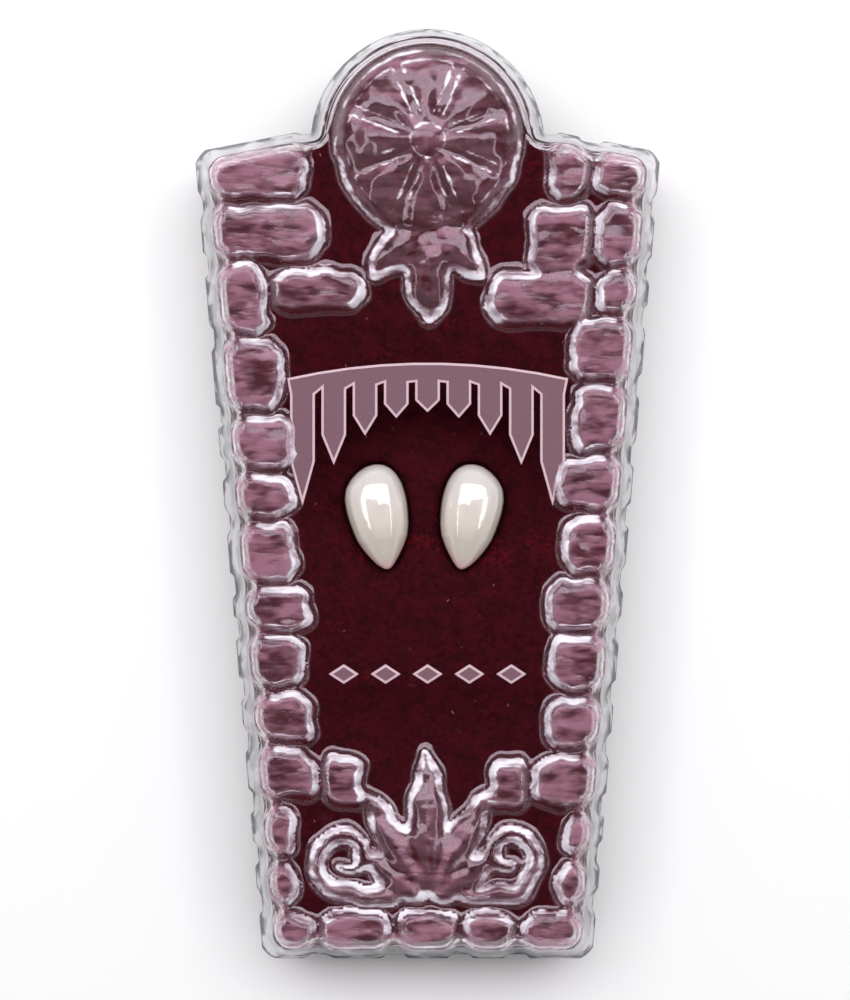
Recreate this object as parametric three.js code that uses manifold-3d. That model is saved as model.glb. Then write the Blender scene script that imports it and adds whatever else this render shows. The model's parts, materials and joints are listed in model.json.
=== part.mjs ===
// A pair of vampire fang caps in a coffin-shaped clear case, lying on its back.
// X runs across the case, Y towards its head end and Z up, out of its face. Lengths are in millimetres.
import * as THREE from "three";
import { mergeVertices } from "three/addons/utils/BufferGeometryUtils.js";
import Module from "manifold-3d";

const wasm = await Module();
wasm.setup();

// Case outline, measured round the outer faces of the stones at the rim
const CASE_LENGTH = 144;
const HEAD_WIDTH = 72.2;
const FOOT_WIDTH = 51;
const SHOULDER_Y = 52.9;
const SHOULDER_SLOPE = THREE.MathUtils.degToRad(11);
const LOBE_RADIUS = 18.2;
const SHOULDER_ROUND = 4.2;
const FOOT_ROUND = 4.6;
const WALL_DRAFT = THREE.MathUtils.degToRad(6);
const ARC_STEPS = 4;
const LOBE_STEPS = 22;
const FINEST = 0.02;

// Cover heights and sheet
const SHEET = 0.6;
const RIM_Z = 0.3;
const WINDOW_Z = 19.6;
const STONE_RISE = 3.4;
const STONE_ROUND = 0.9;
const STONE_FLARE = 1;
const STONE_CORNER = 1.5;
const JOINT_GAP = 1;
const JOINT_DEPTH = 0.6;
const STONE_BAND = 10.4;
const CAVITY_FLOOR_Z = -1;
const CORNER_RATIO = 0.4;
const SHOULDER_SPLIT_RATIO = 0.4;

// Rosette on the lobe, and the leaf that hangs from it
const ROSETTE_RADIUS = 14.6;
const ROSETTE_RISE = 6.2;
const PETALS = 8;
const PETAL_SPOKES = 5;
const PETAL_SPOKES_INSIDE = 3;
const ROSETTE_ARC_STEPS = 6;
const PETAL_DEPTH = 1.5;
const BOSS_RADIUS = 3.4;
const DROP_LENGTH = 14;
const DROP_WIDTH = 9;
const LEAF_RISE = 3.2;
const LEAF_SIDES = 8;
const LEAF_RINGS = 7;
const LEAF_SIDES_INSIDE = 6;
const LEAF_RINGS_INSIDE = 5;
const LEAF_ROOT_RATIO = 1.25;
const LEAF_TIP_RATIO = 0.65;

// Scroll panel at the foot
const SCROLL_RADIUS = 6.2;
const SCROLL_EYE = 1;
const SCROLL_TURNS = 1.3;
const SCROLL_START_ANGLE = -0.8 * Math.PI;
const SCROLL_LEAD = 3.2;
const SCROLL_LEAD_RATIO = 1 / 8;
const SCROLL_CLOSING_POWER = 0.85;
const SCROLL_CORD = 1.7;
const SCROLL_CORD_RATIO = 0.55;
const SCROLL_STEPS = 28;
const SCROLL_STEPS_INSIDE = 15;
const CORD_SIDES = 4;
const CORD_HEIGHT = 1.5;
const SCROLL_X = 12.4;
const SCROLL_Y = -55.6;
const CREST_Y = -62;
const CREST_LENGTH = 24;
const CREST_WIDTH = 7.4;

// Low relief on the window: an arched valance over the caps and a row of lozenges under them
const EMBOSS = 0.45;
const VALANCE_WIDTH = 43;
const VALANCE_TOP_Y = 20;
const VALANCE_SAG = 2.4;
const VALANCE_BAND = 3;
const VALANCE_TABS = 9;
const TAB_MIDDLE = 4.6;
const TAB_END = 17;
const TAB_GAP = 1;
const TAB_STRAIGHT_RATIO = 0.6;
const LOZENGES = 5;
const LOZENGE_Y = -27.6;
const LOZENGE_PITCH = 6.4;
const LOZENGE_LENGTH = 4.6;
const LOZENGE_HEIGHT = 3;

// Tray and insert
const TRAY_SHEET = 0.6;
const TRAY_HEIGHT = 7;
const FIT_GAP = 0.3;
const INSERT_TOP_Z = 13;
const INSERT_GAP = 0.6;

// Fang caps
const FANG_LENGTH = 16.5;
const FANG_WIDTH = 9.8;
const FANG_DEPTH = 8;
const FANG_WALL = 0.9;
const FANG_SINK = 2.6;
const FANG_TILT = THREE.MathUtils.degToRad(7);
const FANG_SPREAD = 13.2;
const FANG_MIDDLE_X = -0.5;
const FANG_MIDDLE_Y = -3.6;
const SOCKET_END_RATIO = 0.6;
const GUM_ARCH_WIDTH = 6.2;
const GUM_ARCH_HEIGHT = 3;
const GUM_ARCH_SIDES = 14;
const FANG_STEPS = 20;
const SOCKET_STEPS = 10;

// How boxy a cap's curves are: an ellipse has 1 as its front or back power, and 2 as its closing power
const FRONT_POWER = 0.95;
const BACK_POWER = 0.55;
const SOCKET_CLOSING_POWER = 2.6;

// Sections of a cap from the gum end to the tip. along is a share of its length, outer and inner are shares
// of its half width on the cheek side and the middle side, front and back are shares of its depth.
const FANG_SECTIONS = [
  { along: 0, outer: 0, inner: 0, front: 0.42, back: 0.42 },
  { along: 0.02, outer: 0.33, inner: 0.28, front: 0.58, back: 0.27 },
  { along: 0.06, outer: 0.58, inner: 0.49, front: 0.73, back: 0.12 },
  { along: 0.12, outer: 0.82, inner: 0.65, front: 0.84, back: 0.03 },
  { along: 0.2, outer: 1.01, inner: 0.77, front: 0.93, back: 0 },
  { along: 0.3, outer: 1.09, inner: 0.84, front: 0.98, back: 0 },
  { along: 0.4, outer: 1.08, inner: 0.87, front: 1, back: 0 },
  { along: 0.5, outer: 1.03, inner: 0.86, front: 0.98, back: 0 },
  { along: 0.6, outer: 0.95, inner: 0.83, front: 0.92, back: 0 },
  { along: 0.7, outer: 0.85, inner: 0.75, front: 0.82, back: 0.02 },
  { along: 0.79, outer: 0.69, inner: 0.6, front: 0.7, back: 0.06 },
  { along: 0.87, outer: 0.51, inner: 0.43, front: 0.59, back: 0.13 },
  { along: 0.94, outer: 0.32, inner: 0.26, front: 0.49, back: 0.21 },
  { along: 0.985, outer: 0.13, inner: 0.12, front: 0.42, back: 0.29 },
  { along: 1, outer: 0, inner: 0, front: 0.36, back: 0.36 },
];

// Courses of stones down each long side, from the shoulder stone's lower joint to the foot row.
// height is a share of that stretch, reach a share of STONE_BAND, rise a share of STONE_RISE.
// tilt turns the joint under the stone, in degrees.
const LEFT_COURSES = [
  { height: 0.085, reach: 1.74, rise: 0.96, tilt: 0 },
  { height: 0.105, reach: 0.82, rise: 1, tilt: -2 },
  { height: 0.11, reach: 0.98, rise: 0.94, tilt: 3 },
  { height: 0.08, reach: 1.05, rise: 1, tilt: -3 },
  { height: 0.072, reach: 1, rise: 0.9, tilt: 2 },
  { height: 0.09, reach: 0.96, rise: 1, tilt: 4 },
  { height: 0.068, reach: 1.08, rise: 0.94, tilt: -4 },
  { height: 0.082, reach: 0.92, rise: 1, tilt: 2 },
  { height: 0.075, reach: 1.02, rise: 0.92, tilt: -2 },
  { height: 0.085, reach: 0.96, rise: 1, tilt: 3 },
  { height: 0.078, reach: 0.6, rise: 0.94, tilt: 0 },
  { height: 0.07, reach: 0.56, rise: 1, tilt: 0 },
];
const RIGHT_COURSES = [
  { height: 0.092, reach: 0.8, rise: 1, tilt: 0 },
  { height: 0.07, reach: 0.72, rise: 0.92, tilt: 2 },
  { height: 0.095, reach: 1.02, rise: 1, tilt: -3 },
  { height: 0.1, reach: 0.92, rise: 0.94, tilt: 2 },
  { height: 0.085, reach: 1.06, rise: 1, tilt: -2 },
  { height: 0.09, reach: 0.88, rise: 0.92, tilt: -3 },
  { height: 0.08, reach: 1.06, rise: 1, tilt: 4 },
  { height: 0.085, reach: 0.98, rise: 0.94, tilt: -3 },
  { height: 0.08, reach: 0.9, rise: 1, tilt: 2 },
  { height: 0.083, reach: 1.04, rise: 0.94, tilt: 0 },
  { height: 0.07, reach: 0.54, rise: 1, tilt: 0 },
  { height: 0.07, reach: 0.6, rise: 0.94, tilt: 0 },
];
const SHOULDER_COURSE = 8.4;
const FOOT_COURSE = 8.6;

// Stones of the foot row from left to right, as shares of the foot's width and of STONE_RISE
const FOOT_STONES = [
  { width: 0.17, rise: 0.96 },
  { width: 0.23, rise: 0.9 },
  { width: 0.2, rise: 1 },
  { width: 0.17, rise: 0.92 },
  { width: 0.23, rise: 1 },
];

// Stones that stand in from the border. Each lies beside one course: from and to are shares of STONE_BAND
// from the case wall, top and bottom are shares of the course's height, down from its upper joint.
const INNER_STONES = [
  { side: -1, course: 1, from: 0.94, to: 2.26, top: 0.06, bottom: 0.58, rise: 0.86 },
  { side: 1, course: 0, from: 0.92, to: 1.78, top: 0, bottom: 1, rise: 0.96 },
  { side: 1, course: 1, from: 0.84, to: 2.3, top: 0.04, bottom: 1.06, rise: 0.9 },
  { side: -1, course: 9, from: 1.06, to: 1.66, top: 0.3, bottom: 0.98, rise: 0.84 },
  { side: 1, course: 9, from: 1.14, to: 1.7, top: 0.24, bottom: 0.92, rise: 0.84 },
];

// Plane geometry helpers

// A line with unit normal n pointing into the solid side: points inside have n.p >= c.
function lineThrough(point, direction, kind) {
  const n = new THREE.Vector2(-direction.y, direction.x).normalize();
  return { n, c: n.dot(point), kind };
}

function crossing(a, b) {
  const det = a.n.x * b.n.y - a.n.y * b.n.x;
  return new THREE.Vector2((a.c * b.n.y - b.c * a.n.y) / det, (a.n.x * b.c - b.n.x * a.c) / det);
}

function shifted(line, inset) {
  return { ...line, c: line.c + inset };
}

function arcPoints(centre, radius, from, to, steps) {
  return Array.from({ length: steps + 1 }, (_, i) => {
    const angle = from + ((to - from) * i) / steps;
    return new THREE.Vector2(centre.x + radius * Math.cos(angle), centre.y + radius * Math.sin(angle));
  });
}

// The points of a round that joins line a to line b, going anticlockwise with the solid on the left.
function cornerPoints(a, b, radius) {
  const centre = crossing(shifted(a, radius), shifted(b, radius));
  const from = Math.atan2(-a.n.y, -a.n.x);
  const to = Math.atan2(-b.n.y, -b.n.x);
  const turn = THREE.MathUtils.euclideanModulo(to - from, 2 * Math.PI);
  return arcPoints(centre, radius, from, from + turn, ARC_STEPS);
}

// Case outline

const footRight = new THREE.Vector2(FOOT_WIDTH / 2, -CASE_LENGTH / 2);
const shoulderRight = new THREE.Vector2(HEAD_WIDTH / 2, SHOULDER_Y);
const sideRise = shoulderRight.clone().sub(footRight).normalize();
const footLine = lineThrough(footRight, new THREE.Vector2(1, 0), "outer");
const rightLine = lineThrough(footRight, sideRise, "outer");
const shoulderLine = lineThrough(
  shoulderRight,
  new THREE.Vector2(-Math.cos(SHOULDER_SLOPE), Math.sin(SHOULDER_SLOPE)),
  "outer",
);
const lobeCentre = new THREE.Vector2(0, CASE_LENGTH / 2 - LOBE_RADIUS);

function mirrored(points) {
  return points.map((p) => new THREE.Vector2(-p.x, p.y)).reverse();
}

function mirroredLine(line) {
  return { ...line, n: new THREE.Vector2(-line.n.x, line.n.y) };
}

const leftLine = mirroredLine(rightLine);
const leftShoulderLine = mirroredLine(shoulderLine);

// How far the wall leans in at height z.
function draftAt(z) {
  return (z - RIM_Z) * Math.tan(WALL_DRAFT);
}

// The whole outline moved in by inset, anticlockwise, always with the same number of points.
function caseOutline(inset) {
  const foot = shifted(footLine, inset);
  const side = shifted(rightLine, inset);
  const shoulder = shifted(shoulderLine, inset);
  const radius = LOBE_RADIUS + JOINT_DEPTH - inset;
  const towards = shoulder.n.dot(lobeCentre) - shoulder.c;
  const half = Math.asin(towards / radius);
  const neck = Math.atan2(-shoulder.n.y, -shoulder.n.x) - Math.PI / 2 + half;
  const right = [
    ...cornerPoints(foot, side, Math.max(FOOT_ROUND - inset, SHEET)),
    ...cornerPoints(side, shoulder, Math.max(SHOULDER_ROUND - inset, SHEET)),
  ];
  return [...right, ...arcPoints(lobeCentre, radius, neck, Math.PI - neck, LOBE_STEPS), ...mirrored(right)];
}

// Solids

// A closed surface through rings of equal length, with the given triangles of a ring as its two ends.
function skin(rings, startCap, endCap) {
  const count = rings[0].length;
  const last = (rings.length - 1) * count;
  const positions = rings.flat().flatMap((p) => [p.x, p.y, p.z]);
  const index = [];
  rings.slice(1).forEach((_, r) => {
    for (let i = 0; i < count; i++) {
      const next = (i + 1) % count;
      const [a, b, c, d] = [r * count + i, r * count + next, (r + 1) * count + next, (r + 1) * count + i];
      index.push(a, b, c, a, c, d);
    }
  });
  for (const [a, b, c] of startCap) index.push(a, c, b);
  for (const [a, b, c] of endCap) index.push(last + a, last + b, last + c);
  return new THREE.BufferGeometry()
    .setAttribute("position", new THREE.Float32BufferAttribute(positions, 3))
    .setIndex(index);
}

// Rings one above another, each anticlockwise seen from above.
function loft(rings) {
  const flat = (ring) => ring.map((p) => new THREE.Vector2(p.x, p.y));
  const capOf = (ring) => THREE.ShapeUtils.triangulateShape(flat(ring), []);
  return skin(rings, capOf(rings[0]), capOf(rings.at(-1)));
}

function raised(points, z) {
  return points.map((p) => new THREE.Vector3(p.x, p.y, z));
}

// The geometry as a solid that faces out, whichever way round its faces were made.
function solidOf(geometry) {
  const bare = geometry.index ? geometry.toNonIndexed() : geometry.clone();
  for (const name of Object.keys(bare.attributes)) {
    if (name !== "position") bare.deleteAttribute(name);
  }
  const merged = mergeVertices(bare, 1e-4);
  const corners = merged.index.array;
  const made = (turned) => {
    const triVerts = [];
    for (let i = 0; i < corners.length; i += 3) {
      const [a, b, c] = corners.subarray(i, i + 3);
      if (a !== b && b !== c && a !== c) triVerts.push(a, turned ? c : b, turned ? b : c);
    }
    const vertProperties = merged.attributes.position.array;
    const mesh = new wasm.Mesh({ numProp: 3, vertProperties, triVerts: new Uint32Array(triVerts) });
    return new wasm.Manifold(mesh);
  };
  const solid = made(false);
  return solid.volume() < 0 ? made(true) : solid;
}

function joined(geometries) {
  return geometries.map(solidOf).reduce((whole, piece) => whole.add(piece));
}

function geometryOf(solid) {
  const mesh = solid.getMesh();
  const positions = new Float32Array(mesh.numVert * 3);
  for (let i = 0; i < mesh.numVert; i++) {
    positions.set(mesh.vertProperties.subarray(i * mesh.numProp, i * mesh.numProp + 3), i * 3);
  }
  const geometry = new THREE.BufferGeometry()
    .setAttribute("position", new THREE.BufferAttribute(positions, 3))
    .setIndex(new THREE.BufferAttribute(mesh.triVerts, 1));
  geometry.computeVertexNormals();
  return geometry;
}

// Stones

// One ring of a stone: each side moves by the amount for its kind, and the corners are cut.
function stoneRing(sides, insets, z, corner) {
  const moved = sides.map((side) => shifted(side, insets[side.kind]));
  const corners = moved.map((side, i) => crossing(moved.at(i - 1), side));
  const points = corners.flatMap((at, i) => {
    const before = corners.at(i - 1);
    const after = corners[(i + 1) % corners.length];
    const reach = (other) => Math.min(corner, CORNER_RATIO * at.distanceTo(other)) / at.distanceTo(other);
    return [at.clone().lerp(before, reach(before)), at.clone().lerp(after, reach(after))];
  });
  return raised(points, z);
}

// A stone's outside, or the hollow under it when wall is the sheet. Its sides are lines in anticlockwise
// order: outer sides lean with the case wall, joints face a neighbour, free sides flare to the window.
function stoneForm({ sides, rise }, wall) {
  const topZ = WINDOW_Z + STONE_RISE * rise - wall;
  const footZ = wall > 0 ? CAVITY_FLOOR_Z : RIM_Z;
  const joint = JOINT_GAP / 2 + wall;
  const corner = Math.max(STONE_CORNER - wall, SHEET / 2);
  const levels = [
    { z: footZ, joint, free: -STONE_FLARE + wall },
    { z: WINDOW_Z - wall, joint, free: -STONE_FLARE + wall },
    { z: topZ - STONE_ROUND, joint: joint + STONE_ROUND / 3, free: wall },
    { z: topZ, joint: joint + STONE_ROUND, free: wall + STONE_ROUND },
  ];
  const rings = levels.map(({ z, joint, free }) => {
    const outer = draftAt(z) + wall + (z === topZ ? STONE_ROUND : 0);
    return stoneRing(sides, { outer, joint, free }, z, corner);
  });
  return loft(rings);
}

// The line across a long side at height y, facing up or down, turned by tilt degrees.
function jointLine(y, tilt, facing) {
  const angle = THREE.MathUtils.degToRad(tilt) + (facing > 0 ? 0 : Math.PI);
  return lineThrough(new THREE.Vector2(0, y), new THREE.Vector2(Math.cos(angle), Math.sin(angle)), "joint");
}

// The line that lies reach in from a wall line, facing back towards the wall.
function reachLine(wallLine, reach, kind) {
  return { n: wallLine.n.clone().negate(), c: -(wallLine.c + reach), kind };
}

const courseTopY = SHOULDER_Y - SHOULDER_COURSE;
const courseFootY = -CASE_LENGTH / 2 + FOOT_COURSE;

// Each course's upper and lower joint heights, worked out from the shares of its side.
function courseSpans(courses) {
  const whole = courses.reduce((sum, course) => sum + course.height, 0);
  let top = courseTopY;
  let tiltAbove = 0;
  return courses.map((course) => {
    const bottom = top - ((courseTopY - courseFootY) * course.height) / whole;
    const span = { ...course, top, bottom, tiltAbove };
    top = bottom;
    tiltAbove = course.tilt;
    return span;
  });
}

const spans = { "-1": courseSpans(LEFT_COURSES), 1: courseSpans(RIGHT_COURSES) };

// A tilted joint turns about the middle of the stone band, so both stones beside it keep their height.
function sideJoint(side, y, tilt, facing) {
  const wall = side > 0 ? rightLine : leftLine;
  const middle = (wall.c + STONE_BAND / 2 - wall.n.y * y) / wall.n.x;
  return jointLine(y - middle * Math.tan(THREE.MathUtils.degToRad(tilt)), tilt, facing);
}

function sideStones(side) {
  const wall = side > 0 ? rightLine : leftLine;
  return spans[side].map(({ top, bottom, tilt, tiltAbove, reach, rise }) => {
    const upper = sideJoint(side, top, tiltAbove, -1);
    const lower = sideJoint(side, bottom, tilt, 1);
    const free = reachLine(wall, reach * STONE_BAND, "free");
    const sides = side > 0 ? [lower, wall, upper, free] : [lower, free, upper, wall];
    return { sides, rise };
  });
}

function innerStone({ side, course, from, to, top, bottom, rise }) {
  const wall = side > 0 ? rightLine : leftLine;
  const span = spans[side][course];
  const height = span.top - span.bottom;
  const upper = { ...jointLine(span.top - top * height, 0, -1), kind: top > 0.1 ? "free" : "joint" };
  const lower = { ...jointLine(span.top - bottom * height, 0, 1), kind: "free" };
  const far = reachLine(wall, to * STONE_BAND, "free");
  const near = { n: wall.n, c: wall.c + from * STONE_BAND, kind: "joint" };
  return { sides: side > 0 ? [lower, near, upper, far] : [lower, far, upper, near], rise };
}

// The stones under the shoulders: a whole one on the left and two on the right.
function shoulderStones() {
  const lower = jointLine(courseTopY, 0, 1);
  const lobeLeft = lineThrough(new THREE.Vector2(-LOBE_RADIUS, 0), new THREE.Vector2(0, 1), "joint");
  const lobeRight = mirroredLine(lobeLeft);
  const splitX = LOBE_RADIUS + (HEAD_WIDTH / 2 - LOBE_RADIUS) * SHOULDER_SPLIT_RATIO;
  const splitLeft = lineThrough(new THREE.Vector2(splitX, 0), new THREE.Vector2(0, -1), "joint");
  const splitRight = lineThrough(new THREE.Vector2(splitX, 0), new THREE.Vector2(0, 1), "joint");
  return [
    { sides: [lower, lobeLeft, leftShoulderLine, leftLine], rise: 1 },
    { sides: [lower, splitRight, shoulderLine, lobeRight].map(facingInward(splitX, -1)), rise: 0.94 },
    { sides: [lower, rightLine, shoulderLine, splitLeft].map(facingInward(splitX, 1)), rise: 1 },
  ];
}

// Turns an upright joint line so that its solid side is on the given side of x.
function facingInward(x, side) {
  return (line) => {
    const upright = Math.abs(line.n.y) < 1e-9 && Math.abs(Math.abs(line.c) - x) < 1e-9;
    return upright ? { ...line, n: new THREE.Vector2(side, 0), c: side * x } : line;
  };
}

function footStones() {
  const upper = jointLine(courseFootY, 0, -1);
  let x = -FOOT_WIDTH / 2;
  return FOOT_STONES.map(({ width, rise }, i) => {
    const from = { n: new THREE.Vector2(1, 0), c: x, kind: "joint" };
    x += width * FOOT_WIDTH;
    const to = { n: new THREE.Vector2(-1, 0), c: -x, kind: "joint" };
    const left = i === 0 ? leftLine : from;
    const right = i === FOOT_STONES.length - 1 ? rightLine : to;
    return { sides: [footLine, right, upper, left], rise };
  });
}

const stones = [
  ...shoulderStones(),
  ...sideStones(-1),
  ...sideStones(1),
  ...INNER_STONES.map(innerStone),
  ...footStones(),
];

// Relief on the face

// A domed flower on the lobe. Its petals are valleys cut towards the rim, round a boss.
function rosetteForm(wall) {
  const radius = ROSETTE_RADIUS - wall;
  const rise = ROSETTE_RISE - wall;
  const arc = arcPoints(new THREE.Vector2(), 1, Math.PI / 2, 0, ROSETTE_ARC_STEPS);
  const profile = [
    ...arc.map((p) => new THREE.Vector2(p.x * radius, p.y * rise)),
    new THREE.Vector2(radius, -STONE_RISE),
    new THREE.Vector2(0, -STONE_RISE),
  ];
  profile[0].x = 0;
  const spokes = PETALS * (wall > 0 ? PETAL_SPOKES_INSIDE : PETAL_SPOKES);
  const geometry = new THREE.LatheGeometry(profile, spokes);
  geometry.rotateX(Math.PI / 2);
  const at = geometry.attributes.position;
  for (let i = 0; i < at.count; i++) {
    const [x, y, z] = [at.getX(i), at.getY(i), at.getZ(i)];
    const out = Math.hypot(x, y) / radius;
    const valley = Math.abs(Math.cos((PETALS / 2) * Math.atan2(y, x)));
    const depth = PETAL_DEPTH * Math.sin(Math.PI * Math.min(out, 1)) * (1 - valley);
    if (z > 0 && out * radius > BOSS_RADIUS) at.setZ(i, z - depth);
  }
  geometry.translate(lobeCentre.x, lobeCentre.y, WINDOW_Z - wall);
  return geometry;
}

// A leaf lying on the window from its root, pointing along the angle, widest a third of the way out.
function leafForm({ root, angle, length, width, rise }, wall) {
  const [around, along] = wall > 0 ? [LEAF_SIDES_INSIDE, LEAF_RINGS_INSIDE] : [LEAF_SIDES, LEAF_RINGS];
  const geometry = new THREE.SphereGeometry(1, around, along);
  geometry.rotateZ(-Math.PI / 2);
  const at = geometry.attributes.position;
  for (let i = 0; i < at.count; i++) {
    const out = (at.getX(i) + 1) / 2;
    const taper = THREE.MathUtils.lerp(LEAF_ROOT_RATIO, LEAF_TIP_RATIO, out);
    at.setXYZ(
      i,
      wall + out * (length - 2 * wall),
      at.getY(i) * (width / 2 - wall) * taper,
      at.getZ(i) * (rise - wall / 2) * taper,
    );
  }
  geometry.rotateZ(angle);
  geometry.translate(root.x, root.y, WINDOW_Z - wall / 2);
  return geometry;
}

// Leaves fan out from one root. turn is in degrees from the middle leaf, the rest are shares of its sizes.
const DROP_LEAVES = [
  { turn: 0, length: 1, width: 1 },
  { turn: 42, length: 0.78, width: 0.8 },
  { turn: -42, length: 0.78, width: 0.8 },
];
const CREST_LEAVES = [
  { turn: 0, length: 1, width: 1 },
  { turn: 30, length: 0.84, width: 0.84 },
  { turn: -30, length: 0.84, width: 0.84 },
  { turn: 58, length: 0.6, width: 0.72 },
  { turn: -58, length: 0.6, width: 0.72 },
];

function leafFan(leaves, rootY, heading, wholeLength, wholeWidth) {
  return leaves.map(({ turn, length, width }) => ({
    root: new THREE.Vector2(0, rootY),
    angle: heading + THREE.MathUtils.degToRad(turn),
    length: wholeLength * length,
    width: wholeWidth * width,
    rise: LEAF_RISE * (0.7 + 0.3 * length),
  }));
}

const dropRootY = lobeCentre.y - ROSETTE_RADIUS + LEAF_RISE;
const leaves = [
  ...leafFan(DROP_LEAVES, dropRootY, -Math.PI / 2, DROP_LENGTH + LEAF_RISE, DROP_WIDTH),
  ...leafFan(CREST_LEAVES, CREST_Y, Math.PI / 2, CREST_LENGTH, CREST_WIDTH),
];

// A rounded cord lying on the window along a line, with the radius that widthAt gives at each share of it.
function cordForm(pointAt, widthAt, steps, wall) {
  const rings = Array.from({ length: steps + 1 }, (_, i) => {
    const t = i / steps;
    const at = pointAt(t);
    const ahead = pointAt(Math.min(t + 0.01, 1)).sub(pointAt(Math.max(t - 0.01, 0))).normalize();
    const across = new THREE.Vector2(-ahead.y, ahead.x);
    const radius = Math.max(widthAt(t) - wall, SHEET / 2);
    const round = Array.from({ length: CORD_SIDES + 1 }, (_, k) => {
      const angle = (Math.PI * k) / CORD_SIDES;
      const reach = radius * Math.cos(angle);
      const z = WINDOW_Z - wall / 2 + radius * CORD_HEIGHT * Math.sin(angle);
      return new THREE.Vector3(at.x + across.x * reach, at.y + across.y * reach, z);
    });
    const foot = WINDOW_Z - (wall > 0 ? 2 : 1.5) * SHEET;
    const [start, end] = [round[0].clone().setZ(foot), round.at(-1).clone().setZ(foot)];
    return [start, ...round, end].reverse();
  });
  const cap = rings[0].slice(2).map((_, i) => [0, i + 1, i + 2]);
  return skin(rings, cap, cap);
}

// A scroll on the right (1) or left (-1): out from under the crest, round the outside and in to its eye.
function scrollForm(side, wall) {
  const pointAt = (t) => {
    const angle = SCROLL_START_ANGLE + t * SCROLL_TURNS * 2 * Math.PI;
    const lead = SCROLL_LEAD * Math.max(0, 1 - t / SCROLL_LEAD_RATIO) ** 2;
    const radius = THREE.MathUtils.lerp(SCROLL_RADIUS, SCROLL_EYE, t ** SCROLL_CLOSING_POWER) + lead;
    const x = SCROLL_X + radius * Math.cos(angle);
    return new THREE.Vector2(side * x, SCROLL_Y + radius * Math.sin(angle));
  };
  const widthAt = (t) => SCROLL_CORD * THREE.MathUtils.lerp(1, SCROLL_CORD_RATIO, t);
  return cordForm(pointAt, widthAt, wall > 0 ? SCROLL_STEPS_INSIDE : SCROLL_STEPS, wall);
}

// The arched valance: a band across the window with pointed tabs, short in the middle and long at the ends.
function valanceShape() {
  const pitch = VALANCE_WIDTH / VALANCE_TABS;
  const archY = (x) => VALANCE_TOP_Y - VALANCE_SAG * (x / (VALANCE_WIDTH / 2)) ** 2;
  const top = Array.from({ length: VALANCE_TABS + 1 }, (_, i) => {
    const x = VALANCE_WIDTH / 2 - i * pitch;
    return new THREE.Vector2(x, archY(x));
  });
  const tabs = Array.from({ length: VALANCE_TABS }, (_, i) => {
    const middle = -VALANCE_WIDTH / 2 + (i + 0.5) * pitch;
    const out = Math.abs(middle) / (VALANCE_WIDTH / 2 - pitch / 2);
    const length = TAB_MIDDLE + (TAB_END - TAB_MIDDLE) * out ** 2;
    const rootY = archY(middle) - VALANCE_BAND;
    const half = (pitch - TAB_GAP) / 2;
    const straightY = rootY - length * TAB_STRAIGHT_RATIO;
    return [
      new THREE.Vector2(middle - half, rootY),
      new THREE.Vector2(middle - half, straightY),
      new THREE.Vector2(middle, rootY - length),
      new THREE.Vector2(middle + half, straightY),
      new THREE.Vector2(middle + half, rootY),
    ];
  });
  return new THREE.Shape([...top, ...tabs.flat()]);
}

function embossed(shape) {
  const geometry = new THREE.ExtrudeGeometry(shape, { depth: EMBOSS + SHEET / 2, bevelEnabled: false });
  return geometry.translate(0, 0, WINDOW_Z - SHEET / 2);
}

function lozengeShapes() {
  return Array.from({ length: LOZENGES }, (_, i) => {
    const x = (i - (LOZENGES - 1) / 2) * LOZENGE_PITCH;
    return new THREE.Shape([
      new THREE.Vector2(x + LOZENGE_LENGTH / 2, LOZENGE_Y),
      new THREE.Vector2(x, LOZENGE_Y + LOZENGE_HEIGHT / 2),
      new THREE.Vector2(x - LOZENGE_LENGTH / 2, LOZENGE_Y),
      new THREE.Vector2(x, LOZENGE_Y - LOZENGE_HEIGHT / 2),
    ]);
  });
}

// Cover

// The plain case that the stones stand on, or the space inside it when wall is the sheet.
function slabForm(wall) {
  const footZ = wall > 0 ? CAVITY_FLOOR_Z : RIM_Z;
  const levels = [footZ, WINDOW_Z - STONE_ROUND - wall, WINDOW_Z - wall];
  const rings = levels.map((z, i) => {
    const round = i === levels.length - 1 ? STONE_ROUND : 0;
    return raised(caseOutline(JOINT_DEPTH + draftAt(z) + wall + round), z);
  });
  return loft(rings);
}

function coverForms(wall) {
  return [
    slabForm(wall),
    ...stones.map((stone) => stoneForm(stone, wall)),
    rosetteForm(wall),
    ...leaves.map((leaf) => leafForm(leaf, wall)),
    ...[-1, 1].map((side) => scrollForm(side, wall)),
  ];
}

function clearCover() {
  const outside = joined([...coverForms(0), ...[valanceShape(), ...lozengeShapes()].map(embossed)]);
  return outside.subtract(joined(coverForms(SHEET))).simplify(FINEST);
}

// Tray

function baseTray() {
  const wallIn = JOINT_DEPTH + SHEET + FIT_GAP;
  const outside = loft([
    raised(caseOutline(wallIn + draftAt(0)), 0),
    raised(caseOutline(wallIn + draftAt(TRAY_HEIGHT)), TRAY_HEIGHT),
  ]);
  const above = TRAY_HEIGHT + TRAY_SHEET;
  const inside = loft([
    raised(caseOutline(wallIn + TRAY_SHEET + draftAt(TRAY_SHEET)), TRAY_SHEET),
    raised(caseOutline(wallIn + TRAY_SHEET + draftAt(above)), above),
  ]);
  return solidOf(outside).subtract(solidOf(inside));
}

// Fang caps

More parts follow.
